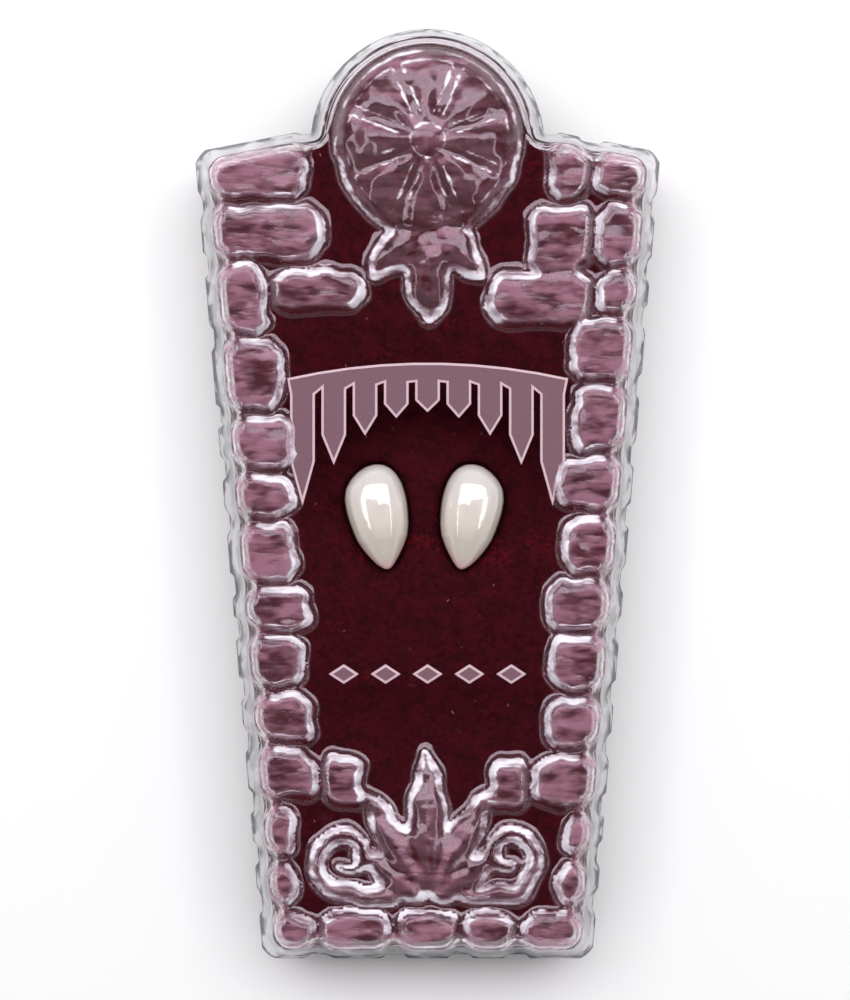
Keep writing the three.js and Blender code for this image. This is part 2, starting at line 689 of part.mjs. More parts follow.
// A cap's section at a share of its length, with straight stretches between the rows of the table.
function fangSection(along) {
  const next = FANG_SECTIONS.findIndex((row) => row.along >= along - 1e-9);
  const [a, b] = [FANG_SECTIONS[Math.max(next - 1, 0)], FANG_SECTIONS[next]];
  const share = b.along > a.along ? (along - a.along) / (b.along - a.along) : 0;
  const between = (key) => THREE.MathUtils.lerp(a[key], b[key], share);
  const middle = THREE.MathUtils.lerp(FANG_SECTIONS[0].front, FANG_SECTIONS.at(-1).front, along);
  return {
    outer: (between("outer") * FANG_WIDTH) / 2,
    inner: (between("inner") * FANG_WIDTH) / 2,
    front: between("front") * FANG_DEPTH,
    back: between("back") * FANG_DEPTH,
    middle: middle * FANG_DEPTH,
  };
}

// A ring round a section: an ellipse over the front, a boxier curve at the back.
// The cap's length runs along -Y from its gum end, and x is towards the middle of the mouth.
function fangRing(along, { outer, inner, front, back, middle }) {
  return Array.from({ length: FANG_STEPS }, (_, i) => {
    const angle = (2 * Math.PI * i) / FANG_STEPS;
    const power = Math.sin(angle) < 0 ? BACK_POWER : FRONT_POWER;
    const side = Math.sign(Math.cos(angle)) * Math.abs(Math.cos(angle)) ** power;
    const up = Math.sign(Math.sin(angle)) * Math.abs(Math.sin(angle)) ** power;
    const x = side * (side > 0 ? inner : outer);
    const z = middle + up * (up > 0 ? front - middle : middle - back);
    return new THREE.Vector3(x, -along * FANG_LENGTH, z);
  });
}

function fangOutside() {
  return loft(FANG_SECTIONS.map(({ along }) => fangRing(along, fangSection(along))));
}

// The socket follows the cap's outside one wall in, closes round at both ends and is open at the back.
function fangSocket() {
  const start = FANG_WALL / FANG_LENGTH;
  const rings = Array.from({ length: SOCKET_STEPS + 1 }, (_, i) => {
    const across = -Math.cos((Math.PI * i) / SOCKET_STEPS);
    const along = start + ((across + 1) / 2) * (SOCKET_END_RATIO - start);
    const close = Math.max(1 - Math.abs(across) ** SOCKET_CLOSING_POWER, 0) ** (1 / SOCKET_CLOSING_POWER);
    const { outer, inner, front, middle } = fangSection(along);
    return fangRing(along, {
      outer: (outer - FANG_WALL) * close,
      inner: (inner - FANG_WALL) * close,
      front: middle + (front - FANG_WALL - middle) * close,
      back: -FANG_WALL,
      middle,
    });
  });
  return loft(rings);
}

// The arch cut through the gum end, so that the cap slides over the tooth from below.
function gumArch() {
  const radius = GUM_ARCH_WIDTH / 2;
  const geometry = new THREE.CylinderGeometry(radius, radius, FANG_LENGTH / 2, GUM_ARCH_SIDES);
  return geometry.scale(1, 1, GUM_ARCH_HEIGHT / radius);
}

function fangCap() {
  return solidOf(fangOutside()).subtract(solidOf(fangSocket())).subtract(solidOf(gumArch()));
}

// Where a cap lies: its gum end's middle, and its turn, on the left (-1) or right (1).
function placeFang(object, side) {
  const out = FANG_SPREAD / 2 + (Math.sin(FANG_TILT) * FANG_LENGTH) / 2;
  const up = FANG_MIDDLE_Y + (Math.cos(FANG_TILT) * FANG_LENGTH) / 2;
  object.position.set(FANG_MIDDLE_X + side * out, up, INSERT_TOP_Z - FANG_SINK);
  object.rotation.z = -side * FANG_TILT;
  object.scale.x = -side;
}

// Insert

// The outline that a cap needs in the insert, in the cap's own frame, grown by the fit gap.
function seatShape() {
  const at = (share, along) => new THREE.Vector2((share * FANG_WIDTH) / 2, -along * FANG_LENGTH);
  const inner = FANG_SECTIONS.map((row) => at(row.inner, row.along));
  const outer = FANG_SECTIONS.slice(1, -1).map((row) => at(-row.outer, row.along));
  const loop = [...outer, ...inner.reverse()];
  const grown = loop.map((p, i) => {
    const before = loop.at(i - 1);
    const after = loop[(i + 1) % loop.length];
    const out = new THREE.Vector2(after.y - before.y, before.x - after.x).normalize();
    return p.clone().addScaledVector(out, FIT_GAP);
  });
  return new THREE.Shape(grown);
}

function velvetInsert() {
  const outline = caseOutline(JOINT_DEPTH + draftAt(INSERT_TOP_Z) + SHEET + INSERT_GAP);
  const block = loft([raised(outline, TRAY_SHEET + FIT_GAP), raised(outline, INSERT_TOP_Z)]);
  const seats = [-1, 1].map((side) => {
    const seat = new THREE.ExtrudeGeometry(seatShape(), { depth: FANG_DEPTH, bevelEnabled: false });
    const holder = new THREE.Object3D();
    placeFang(holder, side);
    holder.position.z -= FIT_GAP;
    holder.updateMatrix();
    return seat.applyMatrix4(holder.matrix);
  });
  return solidOf(block).subtract(joined(seats));
}

// Materials

const clearPlastic = new THREE.MeshStandardMaterial({
  color: 0xe9e6ea,
  roughness: 0.12,
  metalness: 0,
  transparent: true,
  opacity: 0.3,
});
const trayPlastic = clearPlastic.clone();
const redVelvet = new THREE.MeshStandardMaterial({ color: 0x4a0c18, roughness: 1, metalness: 0 });
const pearlAcrylic = new THREE.MeshStandardMaterial({ color: 0xe8e2d8, roughness: 0.18, metalness: 0 });

// Assembly

function named(name, solid, material) {
  const mesh = new THREE.Mesh(geometryOf(solid), material);
  mesh.name = name;
  return mesh;
}

const fangCase = new THREE.Group();
fangCase.add(named("base_tray", baseTray(), trayPlastic));
fangCase.add(named("velvet_insert", velvetInsert(), redVelvet));
fangCase.add(named("clear_cover", clearCover(), clearPlastic));
for (const [name, side] of [["fang_cap_left", -1], ["fang_cap_right", 1]]) {
  const cap = named(name, fangCap(), pearlAcrylic);
  placeFang(cap, side);
  fangCase.add(cap);
}

export default fangCase;
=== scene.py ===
"""Looks of a pair of vampire fang caps in a coffin-shaped clear case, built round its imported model.

Each piece of the case has an operator of its own, and one more sets the table, the lamps and the camera.
Lengths are in metres, with X across the case, Y towards its head end and Z out of its face.
"""

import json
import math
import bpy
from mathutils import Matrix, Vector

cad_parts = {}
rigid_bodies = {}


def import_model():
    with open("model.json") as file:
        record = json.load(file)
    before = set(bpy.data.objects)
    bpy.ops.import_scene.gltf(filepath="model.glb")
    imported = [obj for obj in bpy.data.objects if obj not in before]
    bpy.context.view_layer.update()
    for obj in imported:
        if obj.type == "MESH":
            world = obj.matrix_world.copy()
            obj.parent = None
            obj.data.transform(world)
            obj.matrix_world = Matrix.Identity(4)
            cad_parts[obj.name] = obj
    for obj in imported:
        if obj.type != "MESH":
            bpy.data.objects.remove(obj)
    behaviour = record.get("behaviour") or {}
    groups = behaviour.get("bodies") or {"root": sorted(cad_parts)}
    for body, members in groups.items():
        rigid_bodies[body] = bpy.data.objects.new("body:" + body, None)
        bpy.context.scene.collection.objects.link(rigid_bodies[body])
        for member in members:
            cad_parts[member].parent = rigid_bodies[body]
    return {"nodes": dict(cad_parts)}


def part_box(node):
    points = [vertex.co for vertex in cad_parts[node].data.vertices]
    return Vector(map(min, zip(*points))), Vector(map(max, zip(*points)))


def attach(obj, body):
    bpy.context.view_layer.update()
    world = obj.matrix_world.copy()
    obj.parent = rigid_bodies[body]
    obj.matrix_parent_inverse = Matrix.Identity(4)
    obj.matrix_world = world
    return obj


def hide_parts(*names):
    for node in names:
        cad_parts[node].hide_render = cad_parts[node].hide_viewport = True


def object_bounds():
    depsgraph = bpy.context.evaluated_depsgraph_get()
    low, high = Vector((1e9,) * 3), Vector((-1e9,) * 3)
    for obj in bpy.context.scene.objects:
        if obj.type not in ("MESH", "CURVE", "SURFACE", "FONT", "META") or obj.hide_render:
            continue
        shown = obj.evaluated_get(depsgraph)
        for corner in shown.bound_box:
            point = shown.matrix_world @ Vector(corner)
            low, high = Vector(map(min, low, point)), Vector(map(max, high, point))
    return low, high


bl_info = {
    "name": "Fang Case",
    "version": (1, 0, 0),
    "blender": (4, 5, 0),
    "location": "3D View > Sidebar > Fang Case",
    "description": "Builds the looks of two fang caps in a coffin-shaped clear case",
    "category": "Add Mesh",
}

import bmesh
import bpy
import numpy as np
from mathutils import Vector, noise
from mathutils.bvhtree import BVHTree
from mathutils.geometry import delaunay_2d_cdt

# What Blender starts with goes, so that the bounds are the case's own
for leftover in list(bpy.data.objects):
    bpy.data.objects.remove(leftover)

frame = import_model()
CAD_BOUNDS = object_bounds()

MM = 0.001
BODY = "root"
ROSETTE_Y = 53.8
PETALS = 8
LOZENGES = 5
FLECK_BAND_Y = -8 * MM
FANG_NODES = ("fang_cap_left", "fang_cap_right")


def blender_points(node):
    """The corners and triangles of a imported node, as numpy arrays."""
    mesh = frame["nodes"][node].data
    points = np.zeros(len(mesh.vertices) * 3)
    mesh.vertices.foreach_get("co", points)
    mesh.calc_loop_triangles()
    corners = np.zeros(len(mesh.loop_triangles) * 3, np.int32)
    mesh.loop_triangles.foreach_get("vertices", corners)
    return points.reshape(-1, 3), corners.reshape(-1, 3)


def ray_target(node):
    points, corners = blender_points(node)
    return BVHTree.FromPolygons(points.tolist(), corners.tolist())


def merged_bmesh(node):
    """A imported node's mesh with its loose triangles joined at their shared corners."""
    joined = bmesh.new()
    joined.from_mesh(frame["nodes"][node].data)
    bmesh.ops.remove_doubles(joined, verts=joined.verts, dist=0.001 * MM)
    return joined


def smooth_step(low, high, value):
    share = np.clip((value - low) / (high - low), 0, 1)
    return share * share * (3 - 2 * share)


def link(mesh, name):
    piece = bpy.data.objects.new(name, mesh)
    bpy.context.scene.collection.objects.link(piece)
    return piece


def finished(piece, material, slot_name, *nodes):
    """Shades a piece smooth, gives it its material and seats it on the body in place of its nodes."""
    piece.data.shade_smooth()
    if not piece.data.materials:
        piece.data.materials.append(material)
    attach(piece, BODY)
    if nodes:
        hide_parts(*nodes)
    return piece


def baked_modifiers(piece):
    """The piece's mesh with its modifiers applied, and the modifiers gone."""
    evaluated = piece.evaluated_get(bpy.context.evaluated_depsgraph_get())
    mesh = bpy.data.meshes.new_from_object(evaluated)
    piece.modifiers.clear()
    old = piece.data
    piece.data = mesh
    bpy.data.meshes.remove(old)
    mesh.name = piece.name
    return mesh


def rounded_copy(node, name, grain, rounds):
    """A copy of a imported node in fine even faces, with its edges rounded off."""
    piece = link(frame["nodes"][node].data.copy(), name)
    piece.data.materials.clear()
    weld = piece.modifiers.new("Weld", "WELD")
    weld.merge_threshold = 0.001 * MM
    fine = piece.modifiers.new("Fine", "REMESH")
    fine.mode = "VOXEL"
    fine.voxel_size = grain
    smooth = piece.modifiers.new("Smooth", "SMOOTH")
    smooth.factor = 0.5
    smooth.iterations = rounds
    baked_modifiers(piece)
    return piece


# Outline of the case


def bottom_outline(node):
    """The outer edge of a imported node's underside, as an anticlockwise ring of points."""
    solid = merged_bmesh(node)
    low = min(v.co.z for v in solid.verts)
    rim = {}
    for edge in solid.edges:
        if max(v.co.z for v in edge.verts) > low + 0.01 * MM:
            continue
        downs = [face.normal.z < -0.5 for face in edge.link_faces]
        if any(downs) and not all(downs):
            for a, b in (edge.verts, reversed(edge.verts)):
                rim.setdefault(a.index, []).append(b.index)
    places = {v.index: (v.co.x, v.co.y) for v in solid.verts}
    solid.free()
    start = next(iter(rim))
    ring, before, at = [start], None, start
    while True:
        after = next(i for i in rim[at] if i != before)
        if after == start:
            break
        ring.append(after)
        before, at = at, after
    points = np.array([places[i] for i in ring])
    x, y = points.T
    turning = np.sum(x * np.roll(y, -1) - y * np.roll(x, -1))
    return points if turning > 0 else points[::-1]


def even_ring(points, count):
    """A closed ring as that many points at equal distances."""
    closed = np.vstack([points, points[:1]])
    run = np.concatenate([[0], np.cumsum(np.hypot(*np.diff(closed, axis=0).T))])
    at = np.linspace(0, run[-1], count, endpoint=False)
    return np.column_stack([np.interp(at, run, closed[:, k]) for k in (0, 1)])


def ring_average(values, reach):
    return sum(np.roll(values, k, axis=0) for k in range(-reach, reach + 1)) / (2 * reach + 1)


def outward(ring, reach=7):
    """Directions out of the ring, turning evenly past its corners."""
    along = np.roll(ring, -2, axis=0) - np.roll(ring, 2, axis=0)
    normal = np.column_stack([along[:, 1], -along[:, 0]])
    normal = ring_average(ring_average(normal, reach), reach // 2)
    return normal / np.hypot(*normal.T)[:, None]


# Relief of the cover's face


def carved(at):
    """Where the rosette, the drop, the scrolls and the crest are, rather than stones, in millimetres."""
    x, y = np.abs(at[:, 0]), at[:, 1]
    rosette = np.hypot(x, y - 52) < 17
    drop = (x < 9) & (y > 24) & (y < 42)
    scrolls = (x < 19.5) & (y > -65) & (y < -48.5)
    crest = (x < 7.5) & (y > -50) & (y < -38)
    return rosette | drop | scrolls | crest


def line(value, middle, width):
    """1 where the value is at the middle, fading to 0 past the width on both sides."""
    return np.exp(-(((value - middle) / width) ** 2))


def petal_lines(at):
    """How near a point is to the line drawn just inside a petal's edge, from 0 to 1, in millimetres."""
    x, y = at[:, 0], at[:, 1] - ROSETTE_Y
    out = np.hypot(x, y)
    turn = 2 * math.pi / PETALS
    beside = np.abs((np.arctan2(y, x) + turn) % turn - turn / 2)
    edge = out * np.sin(beside)
    sides = line(edge, 0.75, 0.3) * smooth_step(3.8, 4.6, out) * (1 - smooth_step(12, 12.6, out))
    rim = line(out, 12.4, 0.35) * smooth_step(0.5, 0.9, edge)
    boss = line(out, 2.6, 0.35)
    return np.maximum.reduce([sides, 0.8 * rim, boss])


class Relief:
    """Heights of the cover's face on a square grid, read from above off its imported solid."""

    pitch = 0.22 * MM

    def __init__(self, target, window_z):
        low, high = CAD_BOUNDS
        self.origin = np.array([low[0], low[1]]) - 2 * self.pitch
        counts = [int((high[k] - low[k]) / self.pitch) + 5 for k in (0, 1)]
        self.window_z = window_z
        down = Vector((0, 0, -1))
        top = high[2] + 5 * MM
        heights = np.full(counts, window_z)
        for i in range(counts[0]):
            x = self.origin[0] + i * self.pitch
            for j in range(counts[1]):
                y = self.origin[1] + j * self.pitch
                hit = target.ray_cast(Vector((x, y, top)), down)[0]
                if hit is not None and hit.z > window_z:
                    heights[i, j] = hit.z
        self.heights = heights

    def steepen(self, foot, reach, share):
        """Draws the stones' tops out over their flanks, which leaves them steeper sides."""
        top = self.heights
        steps = round(reach / self.pitch)
        for axis in (0, 1):
            top = np.maximum.reduce([np.roll(top, k, axis) for k in range(-steps, steps + 1)])
        x, y = (self.origin[k] + self.pitch * np.arange(self.heights.shape[k]) for k in (0, 1))
        at = np.stack(np.meshgrid(x, y, indexing="ij"), axis=-1).reshape(-1, 2) / MM
        stones = ~carved(at).reshape(self.heights.shape) & (self.heights > foot)
        self.heights = np.where(stones, self.heights * (1 - share) + top * share, self.heights)

    def blurred(self, spread):
        """The heights averaged over a round spot of the given spread."""
        steps = spread / self.pitch
        reach = int(3 * steps) + 1
        weights = np.exp(-0.5 * (np.arange(-reach, reach + 1) / steps) ** 2)
        weights /= weights.sum()
        out = self.heights
        for axis in (0, 1):
            padded = np.pad(out, [(reach, reach) if k == axis else (0, 0) for k in (0, 1)], mode="edge")
            length = out.shape[axis]
            shifted = [np.take(padded, range(k, k + length), axis=axis) for k in range(2 * reach + 1)]
            out = sum(w * part for w, part in zip(weights, shifted))
        return out

    def sample(self, grid, points):
        """The grid's values at points of the face, straight between its crossings."""
        place = (points - self.origin) / self.pitch
        place = np.clip(place, 0, np.array(grid.shape) - 1.001)
        cell = place.astype(int)
        (i, j), (u, v) = cell.T, (place - cell).T
        low = grid[i, j] * (1 - u) + grid[i + 1, j] * u
        high = grid[i, j + 1] * (1 - u) + grid[i + 1, j + 1] * u
        return low * (1 - v) + high * v


def face_points(ring, pitch, is_edge, is_raised):
    """Points to fill a ring with: close at edges, wider on raised tops and widest on the flat."""
    low, high = ring.min(0), ring.max(0)
    step = pitch * math.sqrt(0.75)
    rows = []
    for k in range(int((high[1] - low[1]) / step) + 1):
        column = np.arange(int((high[0] - low[0]) / pitch) + 1)
        x = low[0] + pitch * (column + (k % 2) / 2)
        points = np.column_stack([x, np.full(len(x), low[1] + k * step)])
        on_second = (k % 2 == 0) & (column % 2 == 0)
        on_sixth = (k % 6 == 0) & (column % 6 == 0)
        keep = is_edge(points) | on_sixth | (on_second & is_raised(points))
        rows.append(points[keep])
    points = np.vstack(rows)
    inside, near = inside_ring(points, ring)
    keep = inside & (near > 0.7 * pitch)
    return points[keep]


def face_triangles(ring, points):
    """Triangles between a ring and the points in it."""
    count = len(ring)
    edges = [(i, (i + 1) % count) for i in range(count)]
    places = [Vector(p) for p in np.vstack([ring, points]) / MM]
    coords, _, faces, *_ = delaunay_2d_cdt(places, edges, [], 1, 1e-5, False)
    coords = np.array([(p.x, p.y) for p in coords]) * MM
    inside, _ = inside_ring(coords[np.array(faces)].mean(axis=1), ring)
    return coords, [face for face, kept in zip(faces, inside) if kept]


def inside_ring(points, ring):
    """Which points lie inside the ring, and how far each is from the ring's nearest point."""
    after = np.roll(ring, -1, axis=0)
    inside = np.zeros(len(points), bool)
    near = np.full(len(points), np.inf)
    for (ax, ay), (bx, by) in zip(ring, after):
        crosses = (points[:, 1] < ay) != (points[:, 1] < by)
        if ay != by:
            x = ax + (points[:, 1] - ay) * (bx - ax) / (by - ay)
            inside ^= crosses & (points[:, 0] < x)
        near = np.minimum(near, (points[:, 0] - ax) ** 2 + (points[:, 1] - ay) ** 2)
    return inside, np.sqrt(near)


# Clear cover

WALL_LEVELS = (0.0, 0.05, 0.2, 0.45, 0.7, 0.92)
COVER_MARKS = ("painted_highlight", "haze", "wall", "rim")
FAN_STEPS = 17
FAN_REACH = 9 * MM


def cover_rings(target, outline, rise):
    """Rings of points up the cover's wall and over the edge of its face, from its rim inwards."""
    normal = outward(outline)
    outer = outline + normal * 3.4 * MM
    inner = ring_average(outline - normal * 2.6 * MM, 3)
    level = outer - inner
    level /= np.hypot(*level.T)[:, None]
    rings = []
    rim_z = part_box("clear_cover")[0].z + 0.01 * MM
    for share in WALL_LEVELS:
        z = rim_z + share * (rise - rim_z)
        rings.append([ray_hit(target, (*at, z), (*-out, 0)) for at, out in zip(outer, level)])
    for k in range(FAN_STEPS):
        angle = math.pi / 2 * k / FAN_STEPS
        across, up = math.cos(angle), math.sin(angle)
        ring = []
        for at, out in zip(inner, level):
            heading = Vector((*(out * across), up))
            ring.append(ray_hit(target, Vector((*at, rise)) + heading * FAN_REACH, -heading))
        rings.append(ring)
    return np.array(rings), inner


def ray_hit(target, start, heading):
    hit = target.ray_cast(Vector(start), Vector(heading))[0]
    if hit is None:
        raise RuntimeError(f"no cover wall from {tuple(start)} towards {tuple(heading)}")
    return tuple(hit)


def quad_rows(rings, count, first=0):
    """Quads between rings of that many points, numbered from first."""
    faces = []
    for r in range(rings - 1):
        for i in range(count):
            j = (i + 1) % count
            base = first + r * count
            faces.append((base + i, base + j, base + count + j, base + count + i))
    return faces


def chisel(points, amount):
    """Uneven tool marks on the stones: broad facets, with fine ridges across them."""
    marks = []
    for x, y in points / MM:
        broad = noise.noise(Vector((x * 0.22, y * 0.22, 3.1)))
        ridge = noise.noise(Vector((x * 0.4 + 2 * broad, y * 0.95, 7.7)))
        marks.append(0.55 * broad + 0.45 * ridge)
    return np.array(marks) * amount


def wandering(points, reach, amount):
    """Points moved a little along the face by noise, so that straight edges there turn uneven."""
    moved = []
    for x, y in points / MM * 0.3:
        moved.append((noise.noise(Vector((x, y, 1.7))), noise.noise(Vector((x, y, 5.3)))))
    share = smooth_step(0.3 * MM, 3 * MM, reach)
    return points + np.array(moved) * (amount * share)[:, None]


class FANGCASE_OT_cover(bpy.types.Operator):
    """Build the clear thermoformed cover"""

    bl_idname = "fang_case.cover"
    bl_label = "Clear Cover"

    def execute(self, context):
        sizes = context.scene.fang_case.cover
        target = ray_target("clear_cover")
        window_z = sizes.window_z
        relief = Relief(target, window_z)
        flat = relief.heights < window_z + sizes.emboss + 0.05 * MM
        plain = np.where(flat, window_z, relief.heights)
        relief.heights = plain
        relief.steepen(window_z + 0.1 * sizes.stone_rise, 1.1 * MM, sizes.steepness)
        soft = relief.blurred(sizes.softness)
        outline = ring_average(even_ring(bottom_outline("base_tray"), sizes.ring_points), 2)
        rings, inner = cover_rings(target, outline, window_z - sizes.shoulder_drop)
        bend = np.abs(relief.blurred(0.4 * MM) - relief.blurred(1.1 * MM))
        points = face_points(
            inner,
            sizes.face_pitch,
            lambda at: relief.sample(bend, at) > 0.05 * MM,
            lambda at: relief.sample(soft, at) > window_z + 0.1 * MM,
        )
        face, triangles = face_triangles(inner, points)
        _, reach = inside_ring(face, inner)
        heights = relief.sample(soft, wandering(face, reach, sizes.wander))
        last = np.column_stack([inner, relief.sample(soft, inner)])
        rows = np.concatenate([rings, last[None]]).reshape(-1, 3)
        raised = smooth_step(0.3, 0.75, (heights - window_z) / sizes.stone_rise)
        raised *= smooth_step(0.2 * MM, 2 * MM, reach)
        heights = heights + raised * chisel(face, sizes.chisel_depth)
        points = np.vstack([rows, np.column_stack([face, heights])])
        faces = quad_rows(len(rings) + 1, len(inner))
        faces += [tuple(i + len(rows) for i in corners) for corners in triangles]
        mesh = bpy.data.meshes.new("cover_sheet")
        mesh.from_pydata(points.tolist(), [], faces)
        piece = link(mesh, "cover_sheet")
        self.soften(mesh, sizes.soften_rounds)
        self.mark(mesh, relief, outline, sizes)
        thicken = piece.modifiers.new("Sheet", "SOLIDIFY")
        thicken.thickness = sizes.sheet
        thicken.offset = -1
        outer_count = len(mesh.vertices)
        baked_modifiers(piece)
        for name in COVER_MARKS:
            values = piece.data.attributes[name].data
            for i in range(outer_count, len(values)):
                values[i].value = 0
        finished(piece, clear_sheet_material(), "clear_plastic", "clear_cover")
        return {"FINISHED"}

    @staticmethod
    def soften(mesh, rounds):
        """Joins the face to its border and rounds both off, with the rim kept."""
        work = bmesh.new()
        work.from_mesh(mesh)
        bmesh.ops.remove_doubles(work, verts=work.verts, dist=0.02 * MM)
        low = min(v.co.z for v in work.verts) + 0.05 * MM
        inside = [v for v in work.verts if v.co.z > low]
        for _ in range(rounds):
            bmesh.ops.smooth_vert(
                work, verts=inside, factor=0.5, use_axis_x=True, use_axis_y=True, use_axis_z=True
            )
        work.normal_update()
        work.to_mesh(mesh)
        work.free()

    @staticmethod
    def mark(mesh, relief, outline, sizes):
        """Stores where painted highlights whiten the sheet, where its stones are hazy (with painted shade
        on the ornament), and where its wall and rim are.
        """
        count = len(mesh.vertices)
        points = np.zeros(count * 3)
        mesh.vertices.foreach_get("co", points)
        points = points.reshape(-1, 3)
        normals = np.zeros(count * 3)
        mesh.vertices.foreach_get("normal", normals)
        across, along, up = normals.reshape(-1, 3).T
        near = relief.sample(relief.blurred(0.3 * MM), points[:, :2])
        wide = relief.sample(relief.blurred(1.2 * MM), points[:, :2])
        lift = (points[:, 2] - relief.window_z) / MM
        stand = lift / (sizes.stone_rise / MM)
        inside, reach = inside_ring(points[:, :2], outline)
        reach = np.where(inside, reach, -reach) / MM
        # Sides that face the middle of the case and its head end, from where the light falls, get stronger
        # painted highlights
        inward = np.clip(-np.sign(points[:, 0]) * across, 0, 1)
        level = np.hypot(across, along) + 1e-9
        facing = smooth_step(0.1, 0.8, np.maximum(inward, np.clip(0.85 * along, 0, 1)) / level)
        steep = 1 - smooth_step(0.88, 0.975, up)
        carving = carved(points / MM)
        # Painted highlight bands on the stones' flanks and the ornament's slopes, stronger on the sides
        # facing the light
        foot = smooth_step(0.12, 0.35, stand) * (1 - smooth_step(0.8, 0.95, stand))
        foot *= 0.3 + 0.7 * facing
        carved_foot = smooth_step(0.1, 0.2, stand) * (1 - smooth_step(0.45, 0.7, stand))
        carved_foot *= 0.8 + 0.3 * facing
        bevel = steep * np.where(carving, carved_foot, foot) * smooth_step(2.4, 4.0, reach)
        # Painted highlight on the ornament's ridges, and painted shade (less haze) in its hollows
        ridge = smooth_step(0.3, 0.7, (near - wide) / MM) * smooth_step(0.4, 0.7, stand) * carving
        valley = smooth_step(0.05, 0.3, (wide - near) / MM) * carving
        # Painted highlight lines just inside the petals' edges
        petals = petal_lines(points / MM) * (0.7 + 0.4 * facing)
        # Painted highlight line round the foot of the stones
        halo = line(lift, 0.2, 0.12) * smooth_step(2, 3, reach) * facing
        wall = 1 - smooth_step(0.5, 0.95, reach)
        shore = smooth_step(0.05, 0.2, stand) * (1 - smooth_step(2.8, 3.8, reach))
        # Painted highlight along the crease at the top of the wall
        crease = line(reach, 1.1, 0.25) * smooth_step(14, 16, points[:, 2] / MM) * smooth_step(0.3, 0.6, up)
        tops = smooth_step(0.4, 0.7, stand) * smooth_step(0.3, 0.7, up)
        # Painted shade: on the ornament, slopes turned away from the head end and the middle carry less
        # haze
        lit = smooth_step(-0.25, 0.2, along - np.sign(points[:, 0]) * across)
        painted_ornament_shade = np.where(carving, 0.35 + 0.65 * lit, 1)
        white = np.maximum.reduce([bevel, petals, 0.5 * ridge, 0.5 * halo, 0.9 * crease])
        values = {
            "painted_highlight": np.clip(white, 0, 1) * (1 - 0.8 * wall),
            "haze": np.maximum(tops, shore) * (1 - 0.9 * valley) * (1 - wall) * painted_ornament_shade,
            "wall": wall,
            # Dark foot of the wall: partly the sheet's darker cut edge, partly painted contact shade
            "rim": wall * (1 - smooth_step(1.0, 2.4, points[:, 2] / MM)),
        }
        for name in COVER_MARKS:
            layer = mesh.attributes.new(name, "FLOAT", "POINT")
            layer.data.foreach_set("value", values[name].astype(np.float32))


# Frosted relief on the window


def valance_outline():
    """The valance with its pointed tabs, as an anticlockwise ring in millimetres."""
    width, top, sag, band, tabs = 43, 20, 2.4, 3, 9
    shortest, longest, gap, straight_share = 4.6, 17, 1, 0.6
    pitch = width / tabs

    def arch(x):
        return top - sag * (x / (width / 2)) ** 2

    ring = [(width / 2 - i * pitch, arch(width / 2 - i * pitch)) for i in range(tabs + 1)]
    for i in range(tabs):
        middle = -width / 2 + (i + 0.5) * pitch
        out = abs(middle) / (width / 2 - pitch / 2)
        length = shortest + (longest - shortest) * out**2
        root = arch(middle) - band
        half = (pitch - gap) / 2
        straight = root - length * straight_share
        ring += [(middle - half, root), (middle - half, straight), (middle, root - length)]
        ring += [(middle + half, straight), (middle + half, root)]
    return ring


def lozenge_outline(index):
    """One of the row of lozenges, as an anticlockwise ring in millimetres."""
    pitch, row_y, half_width, half_height = 6.4, -27.6, 2.3, 1.5
    x = (index - (LOZENGES - 1) / 2) * pitch
    sides = ((half_width, 0), (0, half_height), (-half_width, 0), (0, -half_height))
    return [(x + across, row_y + along) for across, along in sides]


def inset_ring(ring, distance):
    """An anticlockwise ring moved inwards by an equal distance from all its sides."""
    along = np.roll(ring, -1, axis=0) - ring
    along /= np.hypot(*along.T)[:, None]
    after = np.column_stack([-along[:, 1], along[:, 0]])
    before = np.roll(after, 1, axis=0)
    spread = 1 + np.sum(after * before, axis=1)
    return ring + (after + before) / spread[:, None] * distance


class FANGCASE_OT_relief(bpy.types.Operator):
    """Build the frosted valance and lozenges that stand on the window"""

    bl_idname = "fang_case.relief"
    bl_label = "Frosted Relief"

    def execute(self, context):
        sizes = context.scene.fang_case.relief
        window_z = context.scene.fang_case.cover.window_z
        fill = frost_material("frost_mauve", colours().frost_fill, 0.86)
        edge = frost_material("frost_white", colours().frost_edge, 0.94)
        lozenges = [lozenge_outline(i) for i in range(LOZENGES)]
        rings = {"valance": [valance_outline()], "lozenges": lozenges}
        for name, outlines in rings.items():
            mesh = bpy.data.meshes.new("frosted_" + name)
            work = bmesh.new()
            for outline in outlines:
                self.slab(work, outline, window_z, sizes)
            work.to_mesh(mesh)
            work.free()
            mesh.materials.append(fill)
            mesh.materials.append(edge)
            piece = link(mesh, "frosted_" + name)
            round_off = piece.modifiers.new("Soft edge", "BEVEL")
            round_off.width = sizes.edge_round
            round_off.segments = 2
            baked_modifiers(piece)
            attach(piece, BODY)
        return {"FINISHED"}

    @staticmethod
    def slab(work, outline, window_z, sizes):
        """A low slab with a light band round its top."""
        outer = np.array(outline) * MM
        levels = (
            (outer, window_z - sizes.sink),
            (outer, window_z + sizes.height),
            (inset_ring(outer, sizes.edge_band), window_z + sizes.height + sizes.crown),
        )
        rings = [[work.verts.new((x, y, z)) for x, y in ring] for ring, z in levels]
        count = len(outer)
        for below, above in zip(rings, rings[1:]):
            for i in range(count):
                j = (i + 1) % count
                work.faces.new((below[i], below[j], above[j], above[i])).material_index = 1
        work.faces.new(list(reversed(rings[0])))
        work.faces.new(rings[-1])


# Base tray


